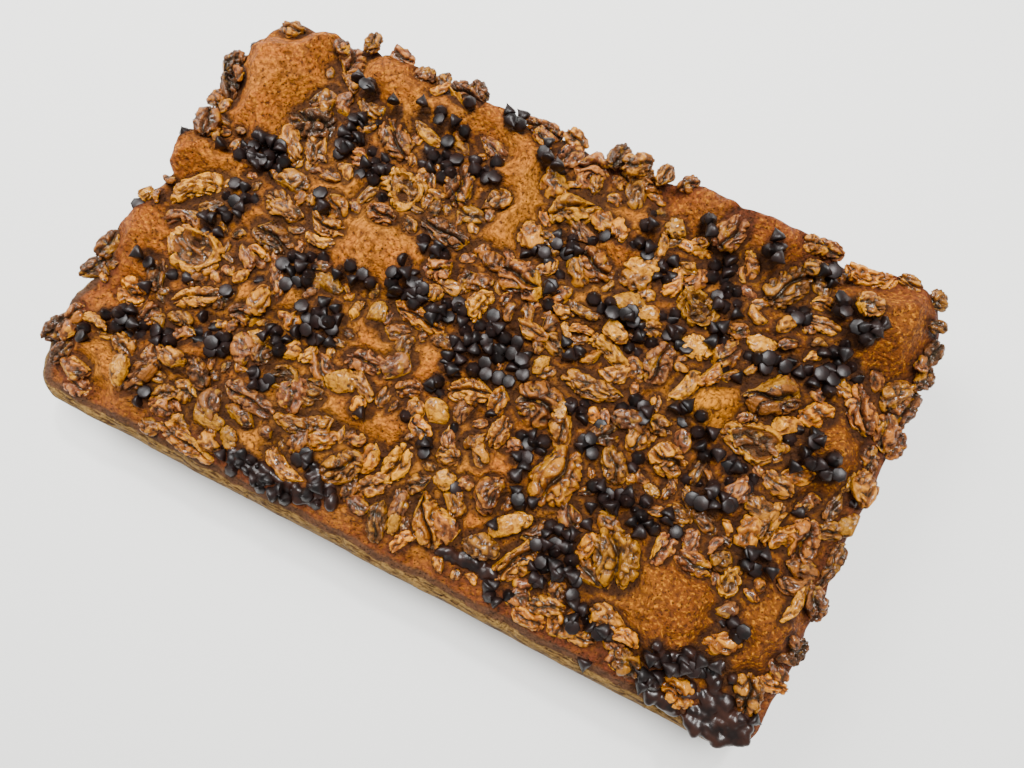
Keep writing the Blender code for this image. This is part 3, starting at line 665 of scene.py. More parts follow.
@dataclass
class View:
    """The place from which the photo was taken, and how places are read off it."""

    eye: tuple[float, float, float] = (56.7, -34.3, 340.0)
    plane_height: float = 46.0
    origin_x: float = 5.0
    right: tuple[float, float, float] = (0.88611, 0.45727, -0.07553)
    down: tuple[float, float, float] = (0.44430, -0.88449, -0.14240)
    forward: tuple[float, float, float] = (-0.13192, 0.09263, -0.98692)
    focal_pixels: float = 769.0
    frame_pixels: float = 1024.0
    sensor: float = 36.0
    nearest: float = 0.01

    def sighted(self, x: Array, y: Array, height: Array) -> tuple[Array, Array]:
        """Give the true place of what is seen at x, y in the level plane.

        Args:
            x: Place along X as read, in millimetres.
            y: Place along Y as read.
            height: Its height above the table.

        Returns:
            The true X and Y.
        """
        shrink = (self.eye[2] - height) / (self.eye[2] - self.plane_height)
        seen_x = x - self.origin_x
        return (
            self.eye[0] + (seen_x - self.eye[0]) * shrink,
            self.eye[1] + (y - self.eye[1]) * shrink,
        )

    def add_camera(self) -> None:
        """Put the camera at the photo's place and angle."""
        data = bpy.data.cameras.new("camera")
        data.sensor_width = self.sensor
        data.lens = self.sensor * self.focal_pixels / self.frame_pixels
        data.clip_start = self.nearest
        camera = bpy.data.objects.new("camera", data)
        turn = Matrix((self.right, -Vector(self.down), -Vector(self.forward))).transposed()
        camera.matrix_world = Matrix.Translation(Vector(self.eye) * MM) @ turn.to_4x4()
        bpy.context.scene.collection.objects.link(camera)
        bpy.context.scene.camera = camera


@dataclass
class SlabForm:
    """The slab's form in millimetres: the solid's, and the finer skin over it."""

    view: View
    length: float = 314.0
    width: float = 189.0
    corner_radius: float = 14.0
    rim_height: float = 38.0
    crown_rise: float = 4.0
    crown_run: float = 14.0
    wall_draft: float = 3.0
    base_rounding: float = 1.5
    edge_rounding: float = 4.5
    left_end_skew: float = 7.0
    front_skew: float = 2.8
    rim_bulge: float = 2.5
    dome_top: float = 49.0
    dome_spread: float = 1.15
    dome_roundness: float = 0.6
    dome_meeting: int = 4
    full_bulge_lift: float = 10.0
    grades: tuple[tuple[float, float], ...] = ((17.0, 1.6), (7.5, 1.1))
    highest_seat: float = 45.0
    warps: tuple[tuple[float, float], ...] = ((11.0, 3.2), (5.0, 1.6))
    top_squash: float = 0.4
    squash_above: float = 52.0
    nudge: float = 0.99

    def skew_shift(self, x: Array, y: Array) -> tuple[Array, Array]:
        """Give how far the tin's uneven sides move a point, along X and Y."""
        to_left = 0.5 - x / self.length
        to_front = 0.5 - y / self.width
        shift_x = self.left_end_skew * (2.0 * y / self.width) * to_left
        shift_y = self.front_skew * (2.0 * x / self.length) * to_front
        return shift_x, shift_y

    def edge_distance(self, x: Array, y: Array) -> Array:
        """Give the distance inwards from the slab's rounded rectangle."""
        shift_x, shift_y = self.skew_shift(x, y)
        over_x = np.abs(x - shift_x) - (self.length / 2 - self.corner_radius)
        over_y = np.abs(y - shift_y) - (self.width / 2 - self.corner_radius)
        outside = np.hypot(np.maximum(over_x, 0.0), np.maximum(over_y, 0.0))
        inside = np.minimum(np.maximum(over_x, over_y), 0.0)
        return self.corner_radius - outside - inside

    def dome_lift(self, x: Array, y: Array, domes: tuple[Dome, ...] = DOMES) -> Array:
        """Give how far the crust domes raise the top at x, y."""
        total = np.zeros_like(np.asarray(x, dtype=float))
        for dome in domes:
            centre_x, centre_y = self.view.sighted(dome.x, dome.y, self.dome_top)
            reach = ((x - centre_x) / dome.half_x) ** 2 + ((y - centre_y) / dome.half_y) ** 2
            lift = dome.rise * np.maximum(0.0, self.dome_spread - reach) ** self.dome_roundness
            total = total + lift ** self.dome_meeting
        return total ** (1.0 / self.dome_meeting)

    def height(self, x: Array, y: Array) -> Array:
        """Give the height of the bare crust above the table at x, y."""
        inset = np.maximum(self.edge_distance(x, y), 0.0)
        height = self.rim_height + self.crown_rise * (1.0 - np.exp(-inset / self.crown_run))
        height = height + self.dome_lift(x, y)
        for grade, (cell, rise) in enumerate(self.grades):
            height = height + rise * lump_noise(x, y, cell, SEED + grade)
        short = np.maximum(self.edge_rounding - inset, 0.0)
        drop = self.edge_rounding - np.sqrt(self.edge_rounding ** 2 - short ** 2)
        return height - drop

    def skin_lift(self, x: Array, y: Array) -> Array:
        """Give how far the baked skin's domes rise, uneven and run together."""
        flat = np.stack([np.ravel(x), np.ravel(y), np.zeros(np.size(x))], axis=1)
        for grade, (cell, push) in enumerate(self.warps):
            for axis, seed in ((0, SEED + 50 + grade), (1, SEED + 55 + grade)):
                flat[:, axis] += push * gradient_noise(flat / cell, seed)
        domes = self.dome_lift(flat[:, 0], flat[:, 1]) ** self.dome_meeting
        bridges = self.dome_lift(flat[:, 0], flat[:, 1], BRIDGES) ** self.dome_meeting
        return ((domes + bridges) ** (1.0 / self.dome_meeting)).reshape(np.shape(x))

    def skin_height(self, x: Array, y: Array) -> Array:
        """Give the height of the baked skin above the table at x, y."""
        height = self.height(x, y) + self.skin_lift(x, y) - self.dome_lift(x, y)
        return height - self.top_squash * np.maximum(0.0, height - self.squash_above)

    def bulged(self, x: Array, y: Array) -> tuple[Array, Array]:
        """Move points of the rim outwards where a dome swells over the edge."""
        near = np.maximum(0.0, 1.0 - self.edge_distance(x, y) / (2.0 * self.edge_rounding))
        lift = np.minimum(1.0, self.dome_lift(x, y) / self.full_bulge_lift)
        push = self.rim_bulge * near * lift
        ends = np.abs(y / self.width) <= np.abs(x / self.length) - self.corner_radius / self.length
        out_x = x + np.where(ends, np.sign(x) * push, 0.0)
        out_y = y + np.where(ends, 0.0, np.sign(y) * push)
        return out_x, out_y

    def drawn_in(self, x: float, y: float, keep: float) -> tuple[float, float]:
        """Move a place inwards until it lies far enough from the rim."""
        while float(self.edge_distance(x, y)) < keep:
            x, y = self.nudge * x, self.nudge * y
        return x, y

    def piece_matrix(self, piece: Piece, keep: float | None = None) -> Matrix:
        """Give the turn and place, in millimetres, of a piece on the crust.

        Args:
            piece: The piece as read.
            keep: Least distance inwards from the rim. The piece is seated
                higher, and moved inwards at last, until it keeps it.

        Returns:
            The matrix that turns and places the piece.
        """
        seen_x = piece.x - self.view.origin_x
        height = max(self.rim_height, float(self.height(seen_x, piece.y)))
        x, y = self.view.sighted(piece.x, piece.y, height)
        if keep is not None:
            while height < self.highest_seat and float(self.edge_distance(x, y)) < keep:
                height += 1.0
                x, y = self.view.sighted(piece.x, piece.y, height)
            x, y = self.drawn_in(x, y, keep)
        turn = Euler((math.radians(piece.tilt), math.radians(piece.tilt / 2), 0.0))
        yaw = Matrix.Rotation(math.radians(piece.yaw), 4, "Z")
        place = Matrix.Translation((x, y, height + piece.lift))
        return place @ yaw @ turn.to_matrix().to_4x4()


@dataclass
class Layout:
    """Where the walnut pieces and the chips lie on the crust, seen from above.

    The outlines are kept one by one and together, as one outline of arrays.
    """

    form: SlabForm
    ovals: list[Oval] = field(default_factory=list)
    together: Oval | None = None
    seats: list[float | None] = field(default_factory=list)
    mounds: list[tuple[float, ...]] = field(default_factory=list)
    bank_slope: float = 1.3
    seat_ratio: float = 0.02
    foot_ratio: float = 0.2
    least_mound: float = 0.5
    mound_margin: float = 2.0

    def add_piece(self, piece: Piece, place: Matrix) -> None:
        """Keep the outline of a walnut piece and the dough that holds it."""
        centre = place.translation
        yaw = math.radians(piece.yaw)
        oval = Oval(
            centre.x, centre.y, piece.length / 2, piece.width / 2,
            math.cos(yaw), math.sin(yaw))
        self.add_oval(oval, centre.z + self.seat_ratio * piece.width)
        base = centre.z - self.foot_ratio * piece.width
        if base > float(self.form.height(centre.x, centre.y)) + self.least_mound:
            self.mounds.append(
                (centre.x, centre.y, piece.width / 2 + self.mound_margin, base))

    def add_round(self, x: float, y: float, radius: float) -> None:
        """Keep the outline of a chip or another round thing."""
        self.add_oval(Oval(x, y, radius, radius), None)

    def add_oval(self, oval: Oval, seat: float | None) -> None:
        """Keep one outline, and the height of the dough at it if it has one."""
        self.ovals.append(oval)
        self.seats.append(seat)
        self.together = Oval(*np.array(self.ovals).T)

    def gap_at(self, x: float, y: float) -> float:
        """Give one place's distance to the nearest outline, negative inside."""
        return float(np.min(self.together.gap(x, y)))

    def gap(self, x: Array, y: Array) -> Array:
        """Give each place's distance to the nearest outline, negative inside."""
        nearest = np.full(np.shape(x), FAR)
        for oval in self.ovals:
            nearest = np.minimum(nearest, oval.gap(x, y))
        return nearest

    def pressed(self, x: Array, y: Array, height: Array) -> Array:
        """Press the dough down where it would bury the walnut pieces."""
        for oval, seat in zip(self.ovals, self.seats):
            if seat is not None:
                bank = self.bank_slope * np.maximum(oval.gap(x, y), 0.0)
                height = np.minimum(height, seat + bank)
        return height

    def mounded(self, x: Array, y: Array, height: Array) -> Array:
        """Raise the dough under the pieces that sit above it."""
        for centre_x, centre_y, half, base in self.mounds:
            reach = ((x - centre_x) ** 2 + (y - centre_y) ** 2) / half ** 2
            height = height + np.maximum(base - height, 0.0) * np.exp(-reach)
        return height


@dataclass
class MeshBatch:
    """Many small shapes gathered into one mesh, with the tones of each."""

    points: list[Array] = field(default_factory=list)
    faces: list[Array] = field(default_factory=list)
    tones: list[dict[str, Array]] = field(default_factory=list)
    slots: list[Array] = field(default_factory=list)
    total: int = 0

    def add(self, points: Array, faces: Array, tones: dict[str, Array], slot: int) -> None:
        """Add one shape.

        Args:
            points: Rows of X, Y and Z in millimetres.
            faces: Rows of three corner numbers.
            tones: Values of each point by name, the same names for all shapes.
            slot: Number of the finish.
        """
        self.points.append(points)
        self.faces.append(faces + self.total)
        self.tones.append(tones)
        self.slots.append(np.full(len(faces), slot))
        self.total += len(points)

    def build(self, name: str, finishes: list[Material]) -> bpy.types.Object:
        """Make the object.

        Args:
            name: The piece's name.
            finishes: Its materials in slot order.

        Returns:
            The new object, at the origin.
        """
        data = bpy.data.meshes.new(name)
        points = np.concatenate(self.points) * MM
        faces = np.concatenate(self.faces)
        data.vertices.add(len(points))
        data.vertices.foreach_set("co", points.ravel())
        data.loops.add(faces.size)
        data.loops.foreach_set("vertex_index", faces.ravel())
        data.polygons.add(len(faces))
        data.polygons.foreach_set("loop_start", np.arange(0, faces.size, faces.shape[1]))
        data.update(calc_edges=True)
        for finish in finishes:
            data.materials.append(finish)
        data.polygons.foreach_set("material_index", np.concatenate(self.slots))
        set_tones(data, {
            tone: np.concatenate([tones[tone] for tones in self.tones])
            for tone in self.tones[0]})
        made = bpy.data.objects.new(name, data)
        bpy.context.scene.collection.objects.link(made)
        data.shade_smooth()
        return made


def set_tones(data: bpy.types.Mesh, tones: dict[str, Array]) -> None:
    """Store values of each point, which the finishes read by name.

    Args:
        data: The mesh.
        tones: One value for each point, by name.
    """
    for name, values in tones.items():
        tone = data.attributes.new(name, "FLOAT", "POINT")
        tone.data.foreach_set("value", np.asarray(values, dtype=np.float32))


def active_points() -> Array:
    """Give the active object's points as rows of three."""
    data = bpy.context.active_object.data
    points = np.empty(len(data.vertices) * 3)
    data.vertices.foreach_get("co", points)
    return points.reshape(-1, 3)


def take_active() -> tuple[Array, Array]:
    """Take the active object's points and triangles, and remove the object.

    Returns:
        Its points and its faces.
    """
    made = bpy.context.active_object
    points = active_points()
    faces = np.array([list(face.vertices) for face in made.data.polygons])
    bpy.data.objects.remove(made)
    return points, faces


def add_grid(name: str, columns: int, rows: int) -> tuple[bpy.types.Object, Array]:
    """Add a flat grid.

    Args:
        name: The new object's name.
        columns: Number of faces along it.
        rows: Number of faces across it.

    Returns:
        The object, and each point's place along and across it, from 0 to 1.
    """
    bpy.ops.object.select_all(action="DESELECT")
    bpy.ops.mesh.primitive_grid_add(x_subdivisions=columns, y_subdivisions=rows, size=2.0)
    made = bpy.context.active_object
    made.name = made.data.name = name
    return made, (active_points()[:, :2].T + 1.0) / 2.0


def ball(subdivisions: int) -> tuple[Array, Array]:
    """Model a unit ball of triangles.

    Args:
        subdivisions: How often its 20 faces are split, counted from one.

    Returns:
        Its points and its faces.
    """
    bpy.ops.object.select_all(action="DESELECT")
    bpy.ops.mesh.primitive_ico_sphere_add(subdivisions=subdivisions, radius=1.0)
    return take_active()


def moved(points: Array, matrix: Matrix, ceiling: float = 57.8) -> Array:
    """Turn and place rows of points by a matrix, and press them in if too high.

    Args:
        points: Rows of three, in millimetres.
        matrix: The turn and the place.
        ceiling: The greatest height above the table.

    Returns:
        The new rows.
    """
    placed = points @ np.array(matrix.to_3x3()).T + np.array(matrix.translation)
    placed[:, 2] -= max(0.0, placed[:, 2].max() - ceiling)
    return placed


@dataclass(frozen=True)
class CrustFinish:
    """Baked sponge crust: matt, grainy and orange-brown.

    The dry skin scatters light evenly. Its grain shows golden flecks and dark
    pores. The low places of its fine relief, the low dough between the domes near
    the nuts and the dough right round the nuts and chips are darkened with painted
    shade. The front is redder, down to a thin grey skin over a strip of pale crumb.
    """

    orange: str = "#AC5E18"
    golden: str = "#BC7420"
    right_end: str = "#683408"
    toasted: str = "#7A3A0C"
    red: str = "#6E341C"
    # Painted shade in the low places of the crust's fine relief.
    hollow: str = "#74420E"
    # Painted shade in the low dough between the domes near the nuts and chips.
    valley_shade: str = "#7E4A08"
    # Painted shadow on the dough right round the nuts and chips.
    contact_shadow: str = "#261206"
    pore: str = "#4A2408"
    fleck: str = "#DE8C18"
    gold: str = "#E08E0C"
    skin: str = "#4A3424"
    crumb: str = "#8A6A38"
    thread: str = "#452B14"
    tone_stops: tuple[float, ...] = (0.40, 0.62)
    streak_stops: tuple[float, ...] = (0.38, 0.56)
    tone_noise: Noise = Noise(34.0)
    mottle_noise: Noise = Noise(9.0, 5.0, 0.65)
    grain_noise: Noise = Noise(1.8, 6.0, 0.7)
    fleck_noise: Noise = Noise(1.4, 2.0)
    stir_noise: Noise = Noise(1.9)
    thread_noise: Noise = Noise(0.9, 4.0)
    thread_stretch: float = 0.14
    front_noise: Noise = Noise(12.0, 5.0)
    front_sway: float = 5.0
    pore_width: float = 1.5
    patch_fade: Fade = Fade(0.48, 0.75, 0.4)
    rim_fade: Fade = Fade(14.0, 2.0, 0.75)
    right_fade: Fade = Fade(0.02, 0.11, 0.85)
    fleck_fade: Fade = Fade(0.52, 0.66, 0.6)
    gold_fade: Fade = Fade(0.0, 1.0, 0.7)
    # Shares of the painted shade: low dough, the relief's low places, round the pieces.
    valley_shade_fade: Fade = Fade(0.0, 1.0, 0.45)
    hollow_shade_fade: Fade = Fade(0.34, 0.02, 0.75)
    contact_shadow_fade: Fade = Fade(0.0, 1.0, 0.9)
    pore_fade: Fade = Fade(0.30, 0.12)
    coarse_fade: Fade = Fade(0.58, 0.46)
    dim_fade: Fade = Fade(0.48, 0.36, 0.6)
    crack_fade: Fade = Fade(0.42, 0.72)
    crack_share: float = 0.6
    red_fade: Fade = Fade(22.0, 10.0, 0.8)
    raised_fade: Fade = Fade(0.38, 0.60)
    skin_fade: Fade = Fade(10.2, 8.8, 0.85)
    crumb_fade: Fade = Fade(7.0, 6.2)
    pore_relief: float = -0.6
    lump_relief: float = -0.55
    bump: Bump = Bump(0.9, 1.5)
    roughness: float = 0.66
    specular: float = 0.15

    def build(self) -> Material:
        """Make the material."""
        made, place = new_material("baked_sponge_crust")
        tree = made.node_tree
        grain, stir = [
            add_node(tree, "ShaderNodeTexNoise", {}, noise.sockets(place))
            for noise in (self.grain_noise, self.stir_noise)]
        stirred = add_node(tree, "ShaderNodeVectorMath", {"operation": "MULTIPLY_ADD"}, {
            0: stir.outputs["Color"], 1: (self.stir_noise.width * MM,) * 3, 2: place})
        lumps = add_node(tree, "ShaderNodeTexVoronoi", {}, {
            "Vector": stirred.outputs[0], "Scale": 1.0 / (self.stir_noise.width * MM)})
        cracks = add_node(
            tree, "ShaderNodeMapRange", {}, self.crack_fade.sockets(lumps.outputs["Distance"]))
        top, holes = self.add_top(tree, place, grain.outputs["Fac"], cracks.outputs[0])
        colour = self.add_front(tree, place, top, grain.outputs["Fac"])
        pitted = add_node(tree, "ShaderNodeMath", {"operation": "MULTIPLY_ADD"}, {
            0: holes, 1: self.pore_relief, 2: grain.outputs["Fac"]})
        relief = add_node(tree, "ShaderNodeMath", {"operation": "MULTIPLY_ADD"}, {
            0: lumps.outputs["Distance"], 1: self.lump_relief, 2: pitted.outputs[0]})
        dress_shader(tree, colour, relief.outputs[0], self.bump, {
            "Roughness": self.roughness, "Specular IOR Level": self.specular})
        return made

    def add_top(
        self,
        tree: Tree,
        place: Socket,
        grain: Socket,
        cracks: Socket,
    ) -> tuple[Socket, Socket]:
        """Add the colours of the crust's top.

        Args:
            tree: The node tree.
            place: Object coordinates.
            grain: The grain's noise.
            cracks: How far each place lies between the crust's small lumps.

        Returns:
            The colour, and how far each place is a pore.
        """
        tone, mottle, flecks = [
            add_node(tree, "ShaderNodeTexNoise", {}, noise.sockets(place)).outputs["Fac"]
            for noise in (self.tone_noise, self.mottle_noise, self.fleck_noise)]
        rim, gilt, valley_shade, fold, contact_shade = [
            add_node(tree, "ShaderNodeAttribute", {"attribute_name": name}).outputs["Fac"]
            for name in ("rim", "gilt", "valley_shade", "fold", "contact_shade")]
        split = add_node(tree, "ShaderNodeSeparateXYZ", {}, {0: place})
        pores = add_node(tree, "ShaderNodeTexVoronoi", {}, {
            "Vector": place, "Scale": 1.0 / (self.pore_width * MM)})
        patch, near, right, light, gilded, low, hollow_shaded, contact_shadowed, deep, coarse, dim = [
            add_node(tree, "ShaderNodeMapRange", {}, fade.sockets(value)).outputs[0]
            for value, fade in (
                (mottle, self.patch_fade), (rim, self.rim_fade),
                (split.outputs["X"], self.right_fade), (flecks, self.fleck_fade),
                (gilt, self.gold_fade), (valley_shade, self.valley_shade_fade),
                (fold, self.hollow_shade_fade), (contact_shade, self.contact_shadow_fade),
                (pores.outputs["Distance"], self.pore_fade), (grain, self.coarse_fade),
                (grain, self.dim_fade))]
        brown = add_node(tree, "ShaderNodeMath", {"operation": "MAXIMUM"}, {0: patch, 1: near})
        holes = add_node(tree, "ShaderNodeMath", {"operation": "MULTIPLY"}, {0: deep, 1: coarse})
        cracked = add_node(tree, "ShaderNodeMath", {"operation": "MULTIPLY_ADD"}, {
            0: cracks, 1: self.crack_share, 2: dim})
        dark = add_node(tree, "ShaderNodeMath", {"operation": "MAXIMUM", "use_clamp": True}, {
            0: holes.outputs[0], 1: cracked.outputs[0]})
        base = add_node(tree, "ShaderNodeValToRGB", {}, {"Fac": tone})
        set_ramp(base, self.tone_stops, (self.orange, self.golden))
        # The layers for the low dough, the fine relief's low places and the dough round the pieces
        # are painted shade.
        colour = lay_over(tree, base.outputs["Color"], [
            (right, self.right_end), (brown.outputs[0], self.toasted), (light, self.fleck),
            (gilded, self.gold), (low, self.valley_shade), (hollow_shaded, self.hollow),
            (dark.outputs[0], self.pore), (contact_shadowed, self.contact_shadow)])
        return colour, holes.outputs[0]

    def add_front(
        self,
        tree: Tree,
        place: Socket,
        top: Socket,
        grain: Socket,
    ) -> Socket:
        """Add the front's reddish crust, its grey skin and its strip of crumb.

        Args:
            tree: The node tree.
            place: Object coordinates.
            top: The top's colour.
            grain: The grain's noise, where the red keeps out of the low places.

        Returns:
            The whole colour.
        """
        stretched = add_node(tree, "ShaderNodeVectorMath", {"operation": "MULTIPLY"}, {
            0: place, 1: (self.thread_stretch, 1.0, 1.0)})
        threads, sway = [
            add_node(tree, "ShaderNodeTexNoise", {}, noise.sockets(where)).outputs["Fac"]
            for noise, where in (
                (self.thread_noise, stretched.outputs[0]), (self.front_noise, place))]
        front = add_node(tree, "ShaderNodeAttribute", {"attribute_name": "front"})
        depth = add_node(tree, "ShaderNodeMath", {"operation": "MULTIPLY_ADD"}, {
            0: sway, 1: self.front_sway, 2: front.outputs["Fac"]}).outputs[0]
        reddish, raised, covered, bared = [
            add_node(tree, "ShaderNodeMapRange", {}, fade.sockets(value)).outputs[0]
            for value, fade in (
                (depth, self.red_fade), (grain, self.raised_fade),
                (depth, self.skin_fade), (depth, self.crumb_fade))]
        flushed = add_node(tree, "ShaderNodeMath", {"operation": "MULTIPLY"}, {
            0: reddish, 1: raised})
        streaks = add_node(tree, "ShaderNodeValToRGB", {}, {"Fac": threads})
        set_ramp(streaks, self.streak_stops, (self.thread, self.crumb))
        return lay_over(tree, top, [
            (flushed.outputs[0], self.red), (covered, self.skin),
            (bared, streaks.outputs["Color"])])


@dataclass(frozen=True)
class CrumbFinish:
    """Sponge side: matt tan crumb, toasted brown at the rim and in patches.

    The side set against the tin's lining, so it is flat and dry, with open
    pores, and it darkens towards the base and the rim.
    """

    crumb: str = "#7C5C30"
    golden: str = "#6C421A"
    toasted: str = "#4E2A10"
    base: str = "#442814"
    pore: str = "#34200F"
    band_stops: tuple[float, ...] = (0.12, 0.36, 0.60, 0.92)
    band_sway: float = 0.16
    tone_noise: Noise = Noise(16.0, 6.0, 0.65)
    mottle_noise: Noise = Noise(7.0, 6.0, 0.7)
    pore_noise: Noise = Noise(4.4, 4.0)
    grain_noise: Noise = Noise(2.2, 6.0)
    pore_width: float = 2.2
    patch_fade: Fade = Fade(0.44, 0.72, 0.8)
    rim_fade: Fade = Fade(0.86, 0.99, 0.9)
    pore_fade: Fade = Fade(0.84, 0.56, 0.7)
    bump: Bump = Bump(1.0, 2.0)
    roughness: float = 0.85
    specular: float = 0.15

    def build(self) -> Material:
        """Make the material."""
        made, place = new_material("sponge_side_crumb")
        tree = made.node_tree
        tone, mottle, size, grain = [
            add_node(tree, "ShaderNodeTexNoise", {}, noise.sockets(place)).outputs["Fac"]
            for noise in (
                self.tone_noise, self.mottle_noise, self.pore_noise, self.grain_noise)]
        level = add_node(tree, "ShaderNodeAttribute", {"attribute_name": "fold"})
        swayed = add_node(tree, "ShaderNodeMath", {"operation": "MULTIPLY_ADD"}, {
            0: tone, 1: self.band_sway, 2: level.outputs["Fac"]})
        bands = add_node(tree, "ShaderNodeValToRGB", {}, {"Fac": swayed.outputs[0]})
        set_ramp(bands, self.band_stops, (self.base, self.golden, self.golden, self.crumb))
        pores = add_node(tree, "ShaderNodeTexVoronoi", {}, {
            "Vector": place, "Scale": 1.0 / (self.pore_width * MM)})
        uneven = add_node(tree, "ShaderNodeMath", {"operation": "ADD"}, {
            0: pores.outputs["Distance"], 1: size})
        patch, edge, dark = [
            add_node(tree, "ShaderNodeMapRange", {}, fade.sockets(value)).outputs[0]
            for value, fade in (
                (mottle, self.patch_fade), (level.outputs["Fac"], self.rim_fade),
                (uneven.outputs[0], self.pore_fade))]
        browned = add_node(tree, "ShaderNodeMath", {"operation": "MAXIMUM"}, {
            0: patch, 1: edge})
        colour = lay_over(tree, bands.outputs["Color"], [
            (browned.outputs[0], self.toasted), (dark, self.pore)])
        relief = add_node(tree, "ShaderNodeMath", {"operation": "SUBTRACT"}, {
            0: grain, 1: dark})
        dress_shader(tree, colour, relief.outputs[0], self.bump, {
            "Roughness": self.roughness, "Specular IOR Level": self.specular})
        return made


@dataclass(frozen=True)
class WalnutFinish:
    """Roasted walnut kernel: a thin oily skin, paler on the folds' tops.

    The oil gives a soft sheen with small glints on the ridges. The creases are
    painted near black, partly darker skin and partly painted shade. Where the skin
    flaked off or a piece broke, the golden cream-coloured flesh shows.
    """

    name: str
    # Near black in the creases: partly the skin's own colour, partly painted shade.
    crease_skin_and_shade: str
    skin: str
    ridge: str
    flesh: str = "#CE8C10"
    shaded_flesh: str = "#7E4606"
    skin_stops: tuple[float, ...] = (0.34, 0.62, 0.80, 1.0)
    flesh_stops: tuple[float, ...] = (0.38, 0.62)
    vein_noise: Noise = Noise(2.2, 6.0, 0.65, 0.8)
    vein_share: float = 0.8
    fold_middle: float = 0.42
    flake_noise: Noise = Noise(4.0)
    flaked: float = 0.60
    flake_edge: float = 0.06
    flake_share: float = 0.8
    tear_sway: float = 0.7
    torn_fade: Fade = Fade(0.74, 0.90)
    darkest: float = 0.5
    lightest: float = 1.2
    bump: Bump = Bump(1.0, 1.2)
    roughness: float = 0.38
    specular: float = 0.5
    sheen: str = "#FFDCAC"
    coat: float = 0.30
    coat_roughness: float = 0.08

    def build(self) -> Material:
        """Make the material."""
        made, place = new_material(self.name)
        tree = made.node_tree
        veins, flakes = [
            add_node(tree, "ShaderNodeTexNoise", {}, noise.sockets(place)).outputs["Fac"]
            for noise in (self.vein_noise, self.flake_noise)]
        fold, bare, tone = [
            add_node(tree, "ShaderNodeAttribute", {"attribute_name": name}).outputs["Fac"]
            for name in ("fold", "bare", "tone")]
        veined = add_node(tree, "ShaderNodeMath", {"operation": "MULTIPLY_ADD"}, {
            0: veins, 1: self.vein_share, 2: fold})
        centred = add_node(tree, "ShaderNodeMath", {"operation": "SUBTRACT"}, {
            0: veined.outputs[0], 1: self.fold_middle})
        # Darkest in the creases, partly painted shade, and palest on the ridges.
        skin = add_node(tree, "ShaderNodeValToRGB", {}, {"Fac": centred.outputs[0]})
        set_ramp(skin, self.skin_stops, (self.crease_skin_and_shade, self.skin, self.skin, self.ridge))
        flesh = add_node(tree, "ShaderNodeValToRGB", {}, {"Fac": veins})
        set_ramp(flesh, self.flesh_stops, (self.shaded_flesh, self.flesh))
        ragged = add_node(tree, "ShaderNodeMath", {"operation": "MULTIPLY_ADD"}, {
            0: veins, 1: self.tear_sway, 2: bare})
        flake_fade = Fade(self.flaked, self.flaked + self.flake_edge, self.flake_share)
        flaking, torn = [
            add_node(tree, "ShaderNodeMapRange", {}, fade.sockets(value)).outputs[0]
            for value, fade in (
                (flakes, flake_fade), (ragged.outputs[0], self.torn_fade))]
        opened = add_node(tree, "ShaderNodeMath", {"operation": "MAXIMUM"}, {
            0: flaking, 1: torn})
        faced = lay_over(tree, skin.outputs["Color"], [
            (opened.outputs[0], flesh.outputs["Color"])])
        shade = add_node(tree, "ShaderNodeMapRange", {}, {
            "Value": tone, "To Min": self.darkest, "To Max": self.lightest})
        shaded = add_node(tree, "ShaderNodeHueSaturation", {}, {
            "Value": shade.outputs[0], "Color": faced})
        dress_shader(tree, shaded.outputs["Color"], veins, self.bump, {
            "Roughness": self.roughness, "Specular IOR Level": self.specular,
            "Specular Tint": linear(self.sheen), "Coat Weight": self.coat,
            "Coat Roughness": self.coat_roughness})
        return made


@dataclass(frozen=True)
class ChocolateFinish:
    """Dark chocolate, moulded in chips or melted and set again.

    The chips keep a dull bloom that greys them, and where the chocolate melted
    it set with a wet-looking gloss.
    """

    name: str
    dark: str
    bloom: str
    roughness: float
    cloud_noise: Noise = Noise(5.0, 4.0)
    cloud_stops: tuple[float, ...] = (0.38, 0.66)
    bump: Bump = Bump(0.4, 0.8)
    specular: float = 0.35

    def build(self) -> Material:
        """Make the material."""
        made, place = new_material(self.name)
        tree = made.node_tree
        cloud = add_node(tree, "ShaderNodeTexNoise", {}, self.cloud_noise.sockets(place))
        ramp = add_node(tree, "ShaderNodeValToRGB", {}, {"Fac": cloud.outputs["Fac"]})
        set_ramp(ramp, self.cloud_stops, (self.dark, self.bloom))
        dress_shader(tree, ramp.outputs["Color"], cloud.outputs["Fac"], self.bump, {
            "Roughness": self.roughness, "Specular IOR Level": self.specular})
        return made


# Each gives a name, then the creases' colour, partly painted shade, the skin and the ridges.
WALNUT_FINISHES = (
    WalnutFinish("walnut_tan", "#221004", "#6C3A0E", "#BC7818"),
    WalnutFinish("walnut_gold", "#301604", "#88480A", "#D08410"),
    WalnutFinish("walnut_reddish", "#1A0A04", "#52260C", "#9C5A1A", flaked=0.58),
    WalnutFinish("walnut_pinkish", "#220E06", "#66341A", "#AA682E", flaked=0.58),
    WalnutFinish("walnut_dark", "#140704", "#3C1C0E", "#7C4418", flaked=0.62),
    WalnutFinish("walnut_pale", "#321804", "#804A0A", "#CC8810", flaked=0.54),
)
CHIP_FINISH = ChocolateFinish("dark_chocolate", "#0B0504", "#20110E", 0.42)
MELTED_FINISH = ChocolateFinish("melted_chocolate", "#120907", "#2E1810", 0.30)


